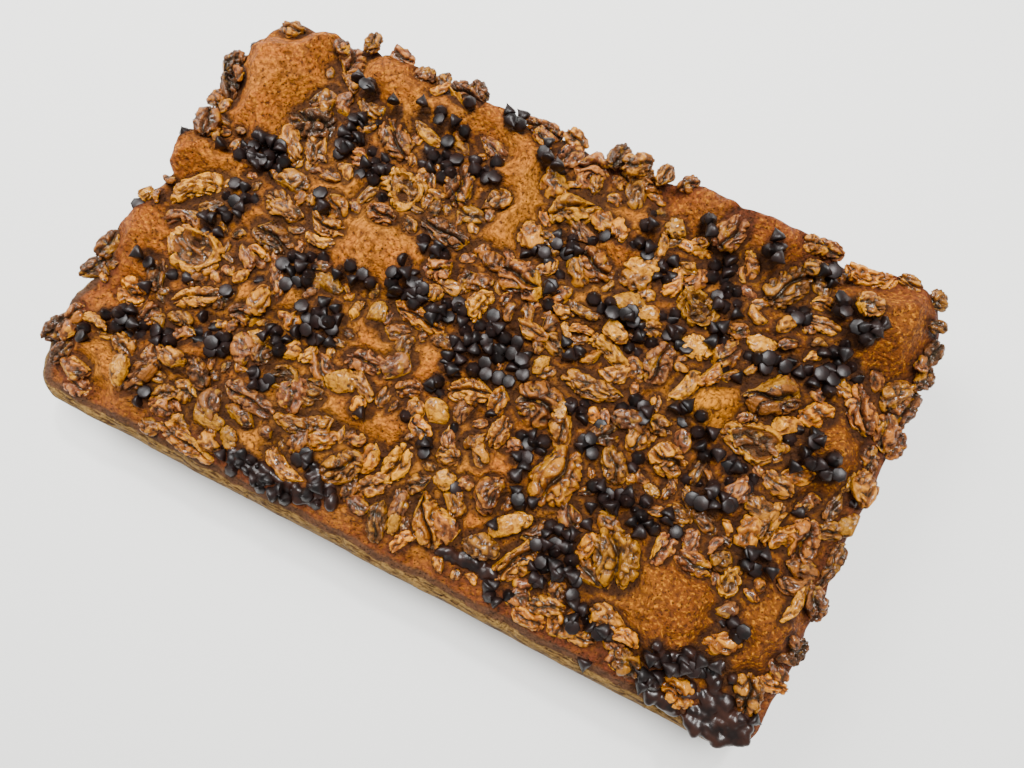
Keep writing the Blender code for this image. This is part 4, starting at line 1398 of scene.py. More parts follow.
@dataclass
class Slab:
    """The sponge: its crust skin and its sides with the underside."""

    form: SlabForm
    layout: Layout
    columns: int = 370
    rows: int = 196
    corner_steps: int = 12
    wall_rows: int = 24
    wall_roughness: float = 1.4
    relief: tuple[tuple[float, float], ...] = ((5.5, 1.1), (2.8, 0.8), (1.6, 0.45))
    tear_cell: float = 2.6
    tear_depth: float = 1.7
    collar_rise: float = 1.4
    collar_width: float = 1.5
    # Reaches of the painted shade round the pieces and in the low dough between the domes.
    contact_shade_width: float = 1.7
    valley_width: float = 5.0
    valley_depth: float = 3.0
    soft_rounds: int = 14
    gilt_place: tuple[float, float] = (91.0, 20.0)
    gilt_reach: float = 11.0
    flare: float = 4.5
    flare_place: float = -74.0
    flare_reach: float = 22.0
    flare_inwards: float = 7.0
    flare_end: float = -0.45
    flare_cell: float = 5.0
    flare_wave: float = 0.5
    calm_reach: float = 3.0
    calm_least: float = 0.25
    collar_reach: float = 8.0
    soft_reach: float = 6.0
    fine_range: float = 2.4
    # These two set the painted shade in the low dough between the domes.
    valley_start: float = 1.5
    valley_hold: float = 1.2
    front_line: float = -0.175
    right_cover: float = 7.5
    left_cover: float = 2.0
    left_cover_from: float = -30.0
    left_cover_reach: float = 60.0
    left_cover_slope: float = 0.4
    torn_cell: float = 22.0
    torn_gain: float = 4.0
    torn_rarity: float = 0.9
    hole_gain: float = 3.0
    rough_cell: float = 3.2
    wall_calm: float = 0.1
    swell_from: float = 0.7

    def row_places(self) -> list[tuple[float, float]]:
        """Give the Y of each row of the top and the slab's half length there."""
        form = self.form
        straight = form.width / 2 - form.corner_radius
        back = []
        for step in range(self.corner_steps):
            angle = math.radians(90.0) * step / self.corner_steps
            half = form.length / 2 - form.corner_radius * (1.0 - math.sin(angle))
            back.append((straight + form.corner_radius * math.cos(angle), half))
        middle = [straight * (1.0 - 2.0 * row / self.rows) for row in range(self.rows + 1)]
        front = [(-y, half) for y, half in reversed(back)]
        return back + [(y, form.length / 2) for y in middle] + front

    def surface(self) -> tuple[Array, Array, dict[str, Array]]:
        """Give the top's points by row and column, and their tones.

        Returns:
            The points in millimetres, their plain X and Y before the rim swells,
            and the tones by name.
        """
        places = np.array(self.row_places())
        along = np.linspace(-1.0, 1.0, self.columns + 1)
        flat_y = np.repeat(places[:, 0][:, None], self.columns + 1, axis=1)
        flat_x = places[:, 1][:, None] * along[None, :]
        shift_x, shift_y = self.form.skew_shift(flat_x, flat_y)
        x, y = flat_x + shift_x, flat_y + shift_y
        inset = self.form.edge_distance(x, y)
        fine = self.fine_relief(x.ravel(), y.ravel()).reshape(x.shape)
        calm = np.clip(inset / self.calm_reach, self.calm_least, 1.0)
        gap = self.layout.gap(x, y)
        collar = self.collar_rise * np.exp(-(np.maximum(gap, 0.0) / self.collar_width) ** 2)
        collar = collar * np.clip(inset / self.collar_reach, 0.0, 1.0)
        height = self.form.skin_height(x, y)
        inner = np.clip(inset / self.soft_reach, 0.0, 1.0)
        height += inner * (self.softened(height) - height) + fine * calm + collar
        height = self.layout.pressed(x, y, self.layout.mounded(x, y, height))
        out_x, out_y = self.form.bulged(x, y)
        out_x = out_x - self.flared(flat_x, x, y, inset)
        # Painted shade mask for the low dough between the domes, near the nuts and chips.
        low = self.valley_start - self.form.skin_lift(x, y) / self.valley_depth
        held = self.valley_hold - np.maximum(gap, 0.0) / self.valley_width
        gilt_x, gilt_y = self.form.view.sighted(*self.gilt_place, self.form.dome_top)
        tones = {
            # Height of the fine relief; its low places get painted shade.
            "fold": np.clip(0.5 + fine / self.fine_range, 0.0, 1.0),
            "rim": inset,
            "gilt": np.exp(-((x - gilt_x) ** 2 + (y - gilt_y) ** 2) / self.gilt_reach ** 2),
            # Painted shade mask: darkest at the outlines of the nuts and chips, gone a little way
            # off.
            "contact_shade": np.clip(1.0 - np.maximum(gap, 0.0) / self.contact_shade_width, 0.0, 1.0),
            "valley_shade": np.clip(low, 0.0, 1.0) * np.clip(held, 0.0, 1.0),
            "front": self.front_depth(x, y, inset, self.form.width / 2 + (y - shift_y)),
        }
        plain = np.stack([x, y], axis=-1)
        return np.stack([out_x, out_y, height], axis=-1), plain, tones

    def flared(self, flat_x: Array, x: Array, y: Array, inset: Array) -> Array:
        """Give how far the torn skin stands out to the left, near the front left."""
        skin = np.exp(-((y - self.flare_place) / self.flare_reach) ** 2)
        skin = skin * np.clip(1.0 - inset / self.flare_inwards, 0.0, 1.0)
        skin = skin * (flat_x < self.flare_end * self.form.length)
        wave = 1.0 + self.flare_wave * lump_noise(x, y, self.flare_cell, SEED + 60)
        return self.flare * skin * wave

    def front_depth(self, x: Array, y: Array, inset: Array, side: Array) -> Array:
        """Give the depth behind the front, and at the ends one that hides the skin.

        Args:
            x: Places along X.
            y: Places along Y.
            inset: Their distances inwards from the rim.
            side: Their distances from the line of the front.

        Returns:
            One depth for each place, in millimetres.
        """
        left = np.clip(y - self.left_cover_from, 0.0, self.left_cover_reach)
        left = left * self.left_cover_slope + self.left_cover
        end = inset + np.where(x > 0.0, self.right_cover, left)
        facing = y < self.front_line * self.form.width
        return np.minimum(end, np.where(facing, np.maximum(side, inset), FAR))

    def softened(self, height: Array) -> Array:
        """Round off the creases at the domes' feet by averaging neighbours."""
        for _ in range(self.soft_rounds):
            wide = np.pad(height, 1, mode="edge")
            height = (
                wide[:-2, 1:-1] + wide[2:, 1:-1] + wide[1:-1, :-2] + wide[1:-1, 2:]
                + 2.0 * wide[1:-1, 1:-1]) / 6.0
        return height

    def fine_relief(self, x: Array, y: Array) -> Array:
        """Give the height to add for the crust's fine lumps and torn holes.

        Args:
            x: Places along X.
            y: Places along Y.

        Returns:
            One height for each place, in millimetres.
        """
        flat = np.stack([x, y, np.zeros_like(x)], axis=1)
        height = np.zeros_like(x)
        for grade, (cell, rise) in enumerate(self.relief):
            height += rise * gradient_noise(flat / cell, SEED + 20 + grade)
        torn = self.torn_gain * gradient_noise(flat / self.torn_cell, SEED + 32)
        torn = np.clip(torn - self.torn_rarity, 0.0, 1.0)
        holes = self.hole_gain * gradient_noise(flat / self.tear_cell, SEED + 33)
        holes = np.clip(holes, 0.0, 1.0)
        return height - self.tear_depth * torn * holes

    def build_crust(
        self, finish: Material
    ) -> tuple[bpy.types.Object, Array, Array]:
        """Model the crust from a grid shaped over the domes.

        Args:
            finish: The crust's material.

        Returns:
            The object, and its points and plain X and Y by row and column.
        """
        points, plain, tones = self.surface()
        rows, columns = points.shape[:2]
        crust, (along, across) = add_grid("crust", columns - 1, rows - 1)
        column = np.rint(along * (columns - 1)).astype(int)
        row = np.rint((1.0 - across) * (rows - 1)).astype(int)
        crust.data.vertices.foreach_set("co", (points[row, column] * MM).ravel())
        set_tones(crust.data, {name: tone[row, column] for name, tone in tones.items()})
        crust.data.materials.append(finish)
        crust.data.shade_smooth()
        crust.data.update()
        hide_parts("sponge_slab")
        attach(crust, BODY)
        return crust, points, plain

    def build_sides(
        self, points: Array, plain: Array, finish: Material
    ) -> bpy.types.Object:
        """Model the sides and the underside from a band wrapped round the rim.

        Args:
            points: The crust's points by row and column.
            plain: The same points' X and Y before the rim swells.
            finish: The sides' material.

        Returns:
            The object.
        """
        form = self.form
        rim, straight = [np.concatenate([
            grid[-1, :-1], grid[:0:-1, -1], grid[0, :0:-1], grid[:-1, 0]])
            for grid in (points, plain)]
        count = len(rim)
        sides, (along, level) = add_grid("sides", count, self.wall_rows)
        around = np.rint(along * count).astype(int) % count
        top = rim[around]
        z = level * top[:, 2]
        rough = self.wall_roughness * gradient_noise(
            np.stack([top[:, 0], top[:, 1], z], axis=1) / self.rough_cell, SEED + 40)
        calm = np.clip(np.minimum(level, 1.0 - level) / self.wall_calm, 0.0, 1.0)
        inset = form.wall_draft * (1.0 - level) + rough * calm
        low = np.maximum(form.base_rounding - z, 0.0)
        inset += form.base_rounding - np.sqrt(form.base_rounding ** 2 - low ** 2)
        swell = np.clip((level - self.swell_from) / (1.0 - self.swell_from), 0.0, 1.0)
        swell = swell * swell * (3.0 - 2.0 * swell)
        out = straight[around] + (top[:, :2] - straight[around]) * swell[:, None]
        wall = np.stack([
            out[:, 0] * (1.0 - inset / (form.length / 2)),
            out[:, 1] * (1.0 - inset / (form.width / 2)), z], axis=1)
        sides.data.vertices.foreach_set("co", (wall * MM).ravel())
        set_tones(sides.data, {"fold": level})
        bpy.ops.object.mode_set(mode="EDIT")
        bpy.ops.mesh.select_all(action="SELECT")
        bpy.ops.mesh.remove_doubles(threshold=WELD)
        bpy.ops.mesh.select_all(action="DESELECT")
        bpy.ops.object.mode_set(mode="OBJECT")
        for edge in sides.data.edges:
            ends = [sides.data.vertices[corner].co.z for corner in edge.vertices]
            edge.select = max(ends) < WELD
        bpy.ops.object.mode_set(mode="EDIT")
        bpy.ops.mesh.edge_face_add()
        bpy.ops.mesh.select_all(action="SELECT")
        bpy.ops.mesh.normals_make_consistent(inside=False)
        bpy.ops.object.mode_set(mode="OBJECT")
        sides.data.materials.append(finish)
        sides.data.shade_smooth()
        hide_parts("sponge_slab")
        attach(sides, BODY)
        return sides


@dataclass
class KernelShaper:
    """Shapes a ball of points into a walnut piece.

    The widths of lumps, folds and wrinkles, full_width, deepest_fold, wrinkle_depth,
    break_rough and break_edge are in millimetres. All else is a share or a number.
    """

    thickness_ratio: float = 0.68
    lump_width: float = 9.0
    lump_depth: float = 0.20
    fold_width: float = 4.4
    least_width_share: float = 0.62
    full_width: float = 42.0
    fold_depth_ratio: float = 0.21
    deepest_fold: float = 3.0
    fold_edge: float = 0.32
    fold_roundness: float = 0.55
    warp_stretch: float = 1.6
    warp_push: float = 0.8
    warp_gap: float = 7.0
    wrinkle_width: float = 1.9
    wrinkle_edge: float = 0.3
    wrinkle_depth: float = 0.45
    top_slope: float = 3.0
    groove_width: float = 0.13
    groove_sway: float = 0.16
    groove_turns: float = 4.0
    groove_calm: float = 0.85
    groove_depth: float = 0.6
    bar_taper: float = 1.5
    bar_bend: float = 0.4
    bar_waist: float = 0.76
    bar_middle: float = 0.35
    slice_folds: float = 0.6
    slice_level: float = 0.40
    slice_lumps: float = 0.35
    slice_slope: float = 0.22
    slice_warp: float = 0.3
    slice_press: float = 0.45
    slice_bare: float = 0.35
    slice_ridges: float = 0.4
    hollow_reach: float = 0.74
    hollow_depth: float = 1.15
    wall_width: float = 0.2
    wall_reach: float = 0.8
    wall_height: float = 0.55
    hollow_calm: float = 0.9
    wall_folds: float = 0.6
    rim_place: float = 0.80
    rim_width: float = 0.10
    rim_bare: float = 0.6
    break_rises: tuple[float, float] = (-0.1, 0.7)
    break_places: tuple[float, float] = (0.45, 0.95)
    break_rough: float = 0.6
    break_press: float = 0.85
    break_edge: float = 0.8
    break_tone: float = 0.7
    pale_bare: float = 0.15
    foot: float = -0.45
    foot_press: float = 0.25
    breaks: dict[Cut, int] = field(default_factory=lambda: {
        Cut.HALF: 1, Cut.OPEN: 0, Cut.BAR: 1, Cut.SLICE: 1, Cut.NUB: 2})

    def shape(self, unit: Array, piece: Piece, seed: int) -> tuple[Array, dict[str, Array]]:
        """Shape one piece about its own middle.

        Args:
            unit: Points of a unit ball.
            piece: The piece's sizes and cut.
            seed: Picks its folds and its broken sides.

        Returns:
            Its points in millimetres and its tones.
        """
        rng = np.random.default_rng(seed)
        half = np.array([
            piece.length / 2, piece.width / 2, piece.width * self.thickness_ratio / 2])
        outward = unit / half
        outward /= np.linalg.norm(outward, axis=1)[:, None]
        shift = rng.uniform(-50.0, 50.0, 3)
        points = unit * half
        lumps = gradient_noise(points / self.lump_width + shift, seed)
        points = points * (1.0 + self.lump_depth * lumps)[:, None]
        width = self.fold_width * (self.least_width_share + piece.width / self.full_width)
        depth = min(self.fold_depth_ratio * piece.width, self.deepest_fold)
        if piece.cut is Cut.SLICE:
            depth *= self.slice_folds
        warp = np.stack([
            gradient_noise(
                points / (self.warp_stretch * width) + shift + self.warp_gap * axis, seed + axis)
            for axis in range(3)], axis=1)
        folded = np.abs(gradient_noise(
            points / width + shift + self.warp_push * warp, seed + 5))
        fold = np.clip(folded / self.fold_edge, 0.0, 1.0) ** self.fold_roundness
        fine = np.abs(gradient_noise(points / self.wrinkle_width + shift, seed + 6))
        x, y = unit[:, 0], unit[:, 1]
        if piece.cut is Cut.HALF:
            line = self.groove_sway * np.sin(self.groove_turns * x + seed)
            groove = np.exp(-((y + line) / self.groove_width) ** 2) * self.upper(unit)
            fold = fold * (1.0 - self.groove_calm * groove)
            points = points - outward * (depth * self.groove_depth * groove)[:, None]
        points = points - outward * (depth * (1.0 - fold))[:, None]
        wrinkle = 1.0 - np.clip(fine / self.wrinkle_edge, 0.0, 1.0)
        points = points - outward * (self.wrinkle_depth * wrinkle)[:, None]
        bare = np.zeros(len(unit))
        if piece.cut is Cut.OPEN:
            points, fold, bare = self.opened(unit, points, fold, half)
        elif piece.cut is Cut.BAR:
            bend = self.bar_bend * half[1] * (1.0 if seed % 2 else -1.0)
            thick = self.bar_waist + (1.0 - self.bar_waist) * np.abs(x) ** self.bar_taper
            points[:, 1] = points[:, 1] * thick + bend * (x ** 2 - self.bar_middle)
        elif piece.cut is Cut.SLICE:
            level = half[2] * (
                self.slice_level + self.slice_lumps * lumps + self.slice_slope * x
                + self.slice_warp * warp[:, 0])
            above = np.maximum(points[:, 2] - level, 0.0)
            points[:, 2] -= (1.0 - self.slice_press) * above
            bare = np.where(above > 0.0, self.slice_bare + self.slice_ridges * fold, 0.0)
        points, broken = self.broken(points, half, self.breaks[piece.cut], rng, lumps)
        bare = np.maximum(bare, broken)
        fold = np.maximum(fold, self.break_tone * broken)
        if piece.tint is Tint.PALE:
            bare = np.clip(bare + self.pale_bare * fold, 0.0, 1.0)
        below = np.maximum(self.foot * half[2] - points[:, 2], 0.0)
        points[:, 2] += (1.0 - self.foot_press) * below
        tones = {"fold": fold, "bare": bare, "tone": np.full(len(unit), rng.random())}
        return points, tones

    def upper(self, unit: Array) -> Array:
        """Give how far each point of the ball lies on its upper half."""
        return np.clip(unit[:, 2] * self.top_slope, 0.0, 1.0)

    def opened(
        self, unit: Array, points: Array, fold: Array, half: Array
    ) -> tuple[Array, Array, Array]:
        """Hollow the piece as a half seen from inside, with its wall across.

        Args:
            unit: Points of the unit ball.
            points: The piece's points.
            fold: How high each lies on the folds.
            half: The piece's three half sizes.

        Returns:
            The new points, their places on the folds and their bare flesh.
        """
        x, y = unit[:, 0], unit[:, 1]
        reach = np.hypot(x, y)
        hollow = np.clip(1.0 - reach / self.hollow_reach, 0.0, 1.0) ** 0.5 * self.upper(unit)
        wall = np.exp(-(y / self.wall_width) ** 2)
        wall = wall * np.clip(1.0 - np.abs(x) / self.wall_reach, 0.0, 1.0)
        sunk = points.copy()
        sunk[:, 2] -= half[2] * self.hollow_depth * hollow * (1.0 - self.wall_height * wall)
        rim = np.exp(-((reach - self.rim_place) / self.rim_width) ** 2)
        calm = 1.0 - self.hollow_calm * hollow * (1.0 - self.wall_folds * wall)
        return sunk, fold * calm, self.rim_bare * self.upper(unit) * rim

    def broken(
        self, points: Array, half: Array, count: int, rng: np.random.Generator, lumps: Array
    ) -> tuple[Array, Array]:
        """Break off the piece's sides along rough planes.

        Args:
            points: The piece's points.
            half: Its three half sizes.
            count: Number of broken sides.
            rng: Draws the planes.
            lumps: Slow noise that roughens the planes.

        Returns:
            The new points, and how far each lies on a broken side.
        """
        bare = np.zeros(len(points))
        for _ in range(count):
            angle = rng.uniform(0.0, 2.0 * math.pi)
            rise = rng.uniform(*self.break_rises)
            normal = np.array([math.cos(angle), math.sin(angle), rise])
            normal /= np.linalg.norm(normal)
            reach = rng.uniform(*self.break_places) * np.linalg.norm(normal * half)
            beyond = points @ normal - reach - self.break_rough * lumps
            points = points - np.outer(self.break_press * np.maximum(beyond, 0.0), normal)
            bare = np.maximum(bare, np.clip(beyond / self.break_edge, 0.0, 1.0))
        return points, bare


@dataclass
class Walnuts:
    """The walnut pieces: large kernels one by one, small ones and bits joined."""

    form: SlabForm
    layout: Layout
    finishes: list[Material]
    shaper: KernelShaper = field(default_factory=KernelShaper)
    fragment_count: int = 130
    fragment_sizes: tuple[float, float] = (11.0, 18.0)
    bit_count: int = 190
    bit_sizes: tuple[float, float] = (6.0, 11.0)
    bare_dome: float = 2.6
    edge_keep: float = -1.0
    filler_keep: float = 5.0
    front_keep: float = 14.0
    tries: int = 60
    fragment_overlap: float = 0.42
    bit_overlap: float = 0.30
    widths: tuple[float, float] = (0.55, 0.8)
    steepest: float = 25.0
    lifts: tuple[float, float] = (0.4, 1.6)
    tints: tuple[Tint, ...] = (
        Tint.TAN, Tint.TAN, Tint.GOLD, Tint.REDDISH, Tint.REDDISH, Tint.PINKISH)
    cuts: tuple[Cut, ...] = (Cut.NUB, Cut.NUB, Cut.BAR, Cut.HALF)

    def __post_init__(self) -> None:
        """Keep the outlines of the large and the small pieces."""
        self.kernels = [(piece, self.form.piece_matrix(piece)) for piece in KERNELS]
        self.small = [
            (piece, self.form.piece_matrix(piece, self.edge_keep)) for piece in SMALL_PIECES]
        for piece, place in self.kernels + self.small:
            self.layout.add_piece(piece, place)

    def build_kernels(self) -> list[bpy.types.Object]:
        """Model the large pieces, each in the place of its node."""
        unit, faces = ball(5)
        made = []
        for number, (piece, place) in enumerate(self.kernels, start=1):
            points, tones = self.shaper.shape(unit, piece, SEED + 100 + number)
            batch = MeshBatch()
            batch.add(moved(points, place), faces, tones, 0)
            kernel = batch.build(f"kernel_{number:02d}", [self.finishes[piece.tint.value]])
            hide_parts(f"walnut_{number:02d}")
            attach(kernel, BODY)
            made.append(kernel)
        return made

    def build_joined(self) -> list[bpy.types.Object]:
        """Model the small pieces, the fragments in the gaps and the bits."""
        fragments = self.draw_fillers(
            self.fragment_count, self.fragment_sizes, self.fragment_overlap, SEED + 3)
        bits = self.draw_fillers(self.bit_count, self.bit_sizes, self.bit_overlap, SEED + 4)
        return [
            self.join("small_walnut_pieces", self.small, 4, SEED + 300),
            self.join("walnut_fragments", fragments, 4, SEED + 600),
            self.join("walnut_bits", bits, 3, SEED + 900),
        ]

    def join(
        self, name: str, pieces: list[tuple[Piece, Matrix]], fineness: int, seed: int
    ) -> bpy.types.Object:
        """Model many pieces as one mesh.

        Args:
            name: The joined piece's name.
            pieces: The pieces with their places.
            fineness: Subdivisions of the ball each is shaped from.
            seed: Seed of the first piece.

        Returns:
            The object.
        """
        unit, faces = ball(fineness)
        batch = MeshBatch()
        for number, (piece, place) in enumerate(pieces):
            points, tones = self.shaper.shape(unit, piece, seed + number)
            batch.add(moved(points, place), faces, tones, piece.tint.value)
        made = batch.build(name, self.finishes)
        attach(made, BODY)
        return made

    def draw_fillers(
        self, count: int, sizes: tuple[float, float], overlap: float, seed: int
    ) -> list[tuple[Piece, Matrix]]:
        """Draw pieces that lie in the gaps left between the domes.

        Args:
            count: The most pieces to draw.
            sizes: The shortest and the longest length.
            overlap: The share of a piece's width that may lie under another.
            seed: Picks the places.

        Returns:
            The pieces with their places.
        """
        rng = random.Random(seed)
        spread = np.random.default_rng(seed)
        half_x = self.form.length / 2
        half_y = self.form.width / 2
        spots = spread.uniform(
            (-half_x, self.front_keep - half_y), (half_x, half_y), (count * self.tries, 2))
        spots = spots[self.form.skin_lift(*spots.T) < self.bare_dome]
        spots = spots[self.form.edge_distance(spots[:, 0], spots[:, 1]) > self.filler_keep]
        found: list[tuple[Piece, Matrix]] = []
        for x, y in spots:
            if len(found) == count:
                break
            length = rng.uniform(*sizes)
            width = length * rng.uniform(*self.widths)
            if self.layout.gap_at(x, y) < width * (0.5 - overlap):
                continue
            tint = rng.choice(self.tints)
            cut = rng.choice(self.cuts)
            piece = Piece(
                x + self.form.view.origin_x, y, length, width, rng.uniform(0.0, 180.0),
                rng.uniform(-self.steepest, self.steepest), rng.uniform(*self.lifts), cut, tint)
            place = self.form.piece_matrix(piece, self.filler_keep)
            self.layout.add_piece(piece, place)
            found.append((piece, place))
        return found


@dataclass
class Chocolate:
    """The chips in their drifts, and the pools where chips melted."""

    form: SlabForm
    layout: Layout
    chip_finish: Material
    melted_finish: Material
    radius: float = 3.15
    height: float = 4.7
    segments: int = 7
    rings: int = 6
    spacing: float = 1.25
    tries: int = 30
    abundance: float = 1.2
    sizes: tuple[float, float] = (0.88, 1.06)
    seen_height: float = 43.0
    least_crust: float = 34.0
    sunk: float = 0.7
    keep_clear: float = 0.3
    pile_reach: float = 1.7
    pile_start: float = 1.9
    pile_slope: float = 0.40
    pile_height: float = 4.5
    outline_share: float = 0.8
    upright_share: float = 0.40
    lying_share: float = 0.38
    slants: tuple[float, float] = (-0.35, 0.35)
    side_slants: tuple[float, float] = (1.2, 1.9)
    side_raise: float = 0.85
    over_slants: tuple[float, float] = (2.7, 3.5)
    over_tilts: tuple[float, float] = (-0.3, 0.3)
    over_raise: float = 0.8
    tip_lean: float = 0.12
    pool_seen_height: float = 42.0
    pool_keep: float = 3.0
    pool_lengths: tuple[float, float] = (1.8, 4.4)
    pool_widths: tuple[float, float] = (1.6, 3.0)
    pool_heights: tuple[float, float] = (1.6, 2.8)
    pool_lifts: tuple[float, float] = (0.4, 1.6)
    pool_outline: float = 2.5
    pool_voxel: float = 0.7
    smooth_share: float = 0.5
    smooth_rounds: int = 2

    def chip_shape(self) -> tuple[Array, Array]:
        """Model one chip: a full round base and a tip drawn up and over."""
        bpy.ops.object.select_all(action="DESELECT")
        bpy.ops.mesh.primitive_uv_sphere_add(
            segments=self.segments, ring_count=self.rings, radius=1.0)
        bpy.ops.object.mode_set(mode="EDIT")
        bpy.ops.mesh.quads_convert_to_tris()
        bpy.ops.object.mode_set(mode="OBJECT")
        unit, faces = take_active()
        rise = (unit[:, 2] + 1.0) / 2.0
        round_part = np.hypot(unit[:, 0], unit[:, 1])
        stops = (0.0, 0.067, 0.25, 0.5, 0.75, 0.933, 1.0)
        widths = np.interp(rise, stops, (0.0, 0.84, 1.0, 0.86, 0.50, 0.17, 0.0))
        levels = np.interp(rise, stops, (0.0, 0.0, 0.07, 0.34, 0.64, 0.90, 1.12))
        safe = np.maximum(round_part, 0.0001)
        lean = self.tip_lean * levels ** 3
        points = np.stack([
            unit[:, 0] / safe * widths * self.radius + lean * self.radius,
            unit[:, 1] / safe * widths * self.radius,
            levels * self.height], axis=1)
        return points, faces

    def lean(self, rng: random.Random) -> tuple[Euler, float]:
        """Draw how a chip lies, and how high its base then is."""
        turn = rng.uniform(0.0, FULL_TURN)
        draw = rng.random()
        if draw < self.upright_share:
            return Euler((rng.uniform(*self.slants), rng.uniform(*self.slants), turn)), 0.0
        if draw < self.upright_share + self.lying_share:
            slant = rng.uniform(*self.side_slants)
            return Euler((slant, 0.0, turn)), self.side_raise * self.radius
        over = (rng.uniform(*self.over_slants), rng.uniform(*self.over_tilts), turn)
        return Euler(over), self.over_raise * self.height

    def build_chips(self) -> bpy.types.Object:
        """Pile the chips in their drifts as one joined mesh."""
        shape, faces = self.chip_shape()
        rng = random.Random(SEED)
        batch = MeshBatch()
        placed: list[tuple[float, float, float]] = []
        for drift in DRIFTS:
            for _ in range(round(self.abundance * drift.count)):
                x, y = self.free_spot(rng, drift, placed)
                crust = max(float(self.form.skin_height(x, y)), self.least_crust)
                bed = crust - self.sunk
                for near_x, near_y, near_z in placed:
                    apart = math.hypot(x - near_x, y - near_y)
                    if apart < self.pile_reach * self.radius:
                        over = self.pile_slope * (self.pile_start * self.radius - apart)
                        bed = max(bed, near_z + over)
                bed = min(bed, crust + self.pile_height)
                turn, raised = self.lean(rng)
                size = rng.uniform(*self.sizes)
                place = Matrix.Translation((x, y, bed + raised)) @ turn.to_matrix().to_4x4()
                batch.add(moved(shape * size, place), faces, {}, 0)
                placed.append((x, y, bed))
                # A spare draw, so that the chips after this one keep their places.
                rng.random()
        for x, y, _ in placed:
            self.layout.add_round(x, y, self.outline_share * self.radius)
        chips = batch.build("chocolate_chips", [self.chip_finish])
        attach(chips, BODY)
        return chips

    def free_spot(
        self, rng: random.Random, drift: Drift, placed: list[tuple[float, float, float]]
    ) -> tuple[float, float]:
        """Draw a chip's place in its drift, clear of the nuts and other chips if it can be.

        Args:
            rng: Draws the places.
            drift: The chip's drift.
            placed: Places of the chips before it.

        Returns:
            Its X and Y in millimetres.
        """
        x, y = drift.x, drift.y
        for _ in range(self.tries):
            x, y = self.form.view.sighted(*self.spot_in(rng, drift), self.seen_height)
            crowd = min([math.hypot(x - a, y - b) for a, b, _ in placed], default=FAR)
            free = self.layout.gap_at(x, y) > self.keep_clear * self.radius
            if free and crowd > self.spacing * self.radius:
                break
        return x, y

    def spot_in(self, rng: random.Random, drift: Drift) -> tuple[float, float]:
        """Draw a place in a drift or a pool, as seen in the photo."""
        angle = rng.uniform(0.0, FULL_TURN)
        reach = math.sqrt(rng.random())
        return (
            drift.x + drift.half_x * reach * math.cos(angle),
            drift.y + drift.half_y * reach * math.sin(angle),
        )

    def build_pools(self) -> bpy.types.Object:
        """Model the melted chips: lumps run together, then smoothed."""
        unit, faces = ball(3)
        rng = random.Random(SEED + 2)
        batch = MeshBatch()
        for pool in MELTED:
            for _ in range(pool.count):
                x, y = self.form.view.sighted(*self.spot_in(rng, pool), self.pool_seen_height)
                x, y = self.form.drawn_in(x, y, self.pool_keep)
                size = np.array([
                    rng.uniform(*self.pool_lengths), rng.uniform(*self.pool_widths),
                    rng.uniform(*self.pool_heights)])
                crust = max(float(self.form.height(x, y)), self.least_crust)
                place = Matrix.Translation((x, y, crust + rng.uniform(*self.pool_lifts)))
                place = place @ Matrix.Rotation(rng.uniform(0.0, FULL_TURN), 4, "Z")
                batch.add(moved(unit * size, place), faces, {}, 0)
                self.layout.add_round(x, y, self.pool_outline)
        pools = batch.build("melted_chocolate", [self.melted_finish])
        bpy.ops.object.select_all(action="DESELECT")
        bpy.context.view_layer.objects.active = pools
        pools.select_set(True)
        remesh = pools.modifiers.new("Run together", "REMESH")
        remesh.mode = "VOXEL"
        remesh.voxel_size = self.pool_voxel * MM
        bpy.ops.object.modifier_apply(modifier=remesh.name)
        smooth = pools.modifiers.new("Set", "SMOOTH")
        smooth.factor = self.smooth_share
        smooth.iterations = self.smooth_rounds
        bpy.ops.object.modifier_apply(modifier=smooth.name)
        pools.data.shade_smooth()
        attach(pools, BODY)
        return pools


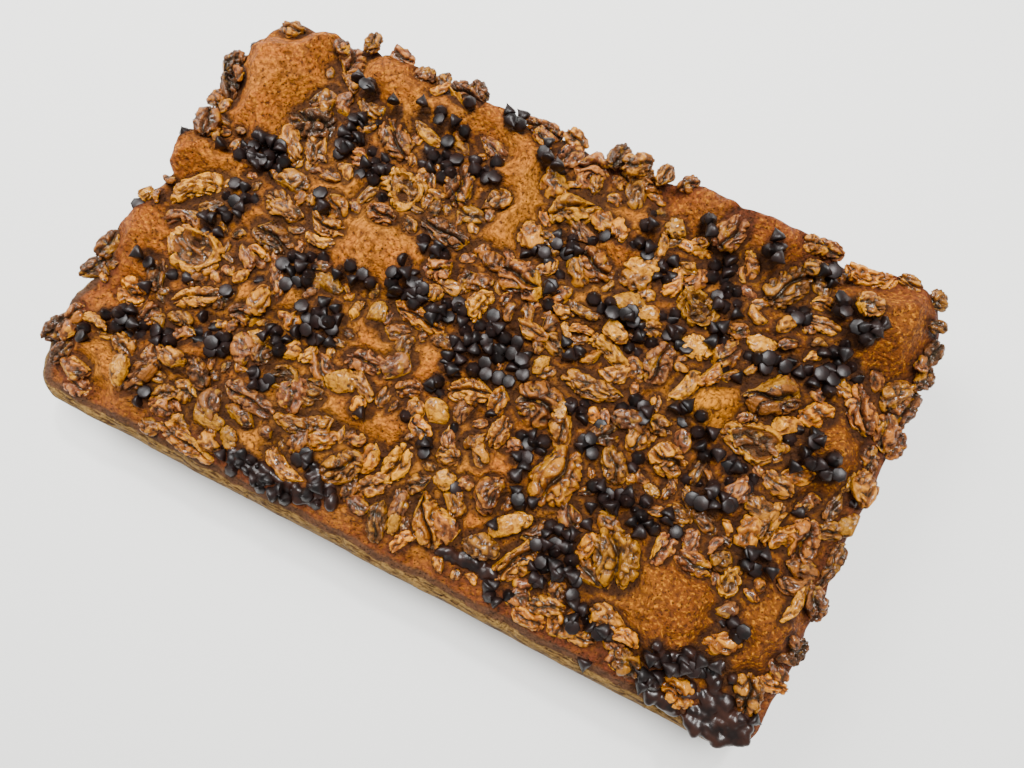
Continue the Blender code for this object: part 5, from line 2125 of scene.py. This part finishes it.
@dataclass
class Studio:
    """The plain pale floor, soft light from above and a small lamp for glints."""

    floor_colour: str = "#F4F4F0"
    floor_size: float = 6.0
    floor_roughness: float = 0.7
    key_place: tuple[float, float, float] = (0.10, 0.25, 1.2)
    key_size: float = 0.4
    key_power: float = 22.0
    fill_place: tuple[float, float, float] = (-0.7, 0.3, 0.75)
    fill_size: float = 0.6
    fill_power: float = 13.0
    glint_place: tuple[float, float, float] = (0.05, 0.45, 0.9)
    glint_size: float = 0.08
    glint_power: float = 5.0
    sky: float = 0.53

    def build(self) -> None:
        """Lay the floor, light it and set the sky."""
        bpy.ops.object.select_all(action="DESELECT")
        bpy.ops.mesh.primitive_plane_add(size=self.floor_size)
        floor = bpy.context.active_object
        floor.name = "floor"
        paper = bpy.data.materials.new("floor_paper")
        paper.use_nodes = True
        shader = paper.node_tree.nodes["Principled BSDF"]
        shader.inputs["Base Color"].default_value = linear(self.floor_colour)
        shader.inputs["Roughness"].default_value = self.floor_roughness
        floor.data.materials.append(paper)
        self.add_light("key", self.key_place, self.key_size, self.key_power)
        self.add_light("fill", self.fill_place, self.fill_size, self.fill_power)
        self.add_light("glint", self.glint_place, self.glint_size, self.glint_power)
        world = bpy.data.worlds.new("studio")
        world.use_nodes = True
        world.node_tree.nodes["Background"].inputs["Color"].default_value = (1.0, 1.0, 1.0, 1.0)
        world.node_tree.nodes["Background"].inputs["Strength"].default_value = self.sky
        bpy.context.scene.world = world

    def add_light(
        self, name: str, place: tuple[float, float, float], size: float, power: float
    ) -> None:
        """Hang one square light that faces the cake.

        Args:
            name: The light's name.
            place: Where it hangs, in metres.
            size: Its side in metres.
            power: Its power in watts.
        """
        data = bpy.data.lights.new(name, "AREA")
        data.size = size
        data.energy = power
        light = bpy.data.objects.new(name, data)
        light.location = place
        light.rotation_euler = (-Vector(place)).to_track_quat("-Z", "Y").to_euler()
        bpy.context.scene.collection.objects.link(light)


def main() -> None:
    """Build the cake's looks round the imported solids."""
    logging.basicConfig(level=logging.INFO, format="%(name)s: %(message)s")
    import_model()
    view = View()
    form = SlabForm(view)
    layout = Layout(form)
    walnuts = Walnuts(form, layout, [finish.build() for finish in WALNUT_FINISHES])
    chocolate = Chocolate(form, layout, CHIP_FINISH.build(), MELTED_FINISH.build())
    made = [chocolate.build_chips(), chocolate.build_pools()]
    made += walnuts.build_joined()
    made += walnuts.build_kernels()
    slab = Slab(form, layout)
    crust, points, plain = slab.build_crust(CrustFinish().build())
    made += [crust, slab.build_sides(points, plain, CrumbFinish().build())]
    for thing in made:
        LOG.info("%s: %d faces", thing.name, len(thing.data.polygons))
    Studio().build()
    view.add_camera()


if __name__ == "__main__":
    main()
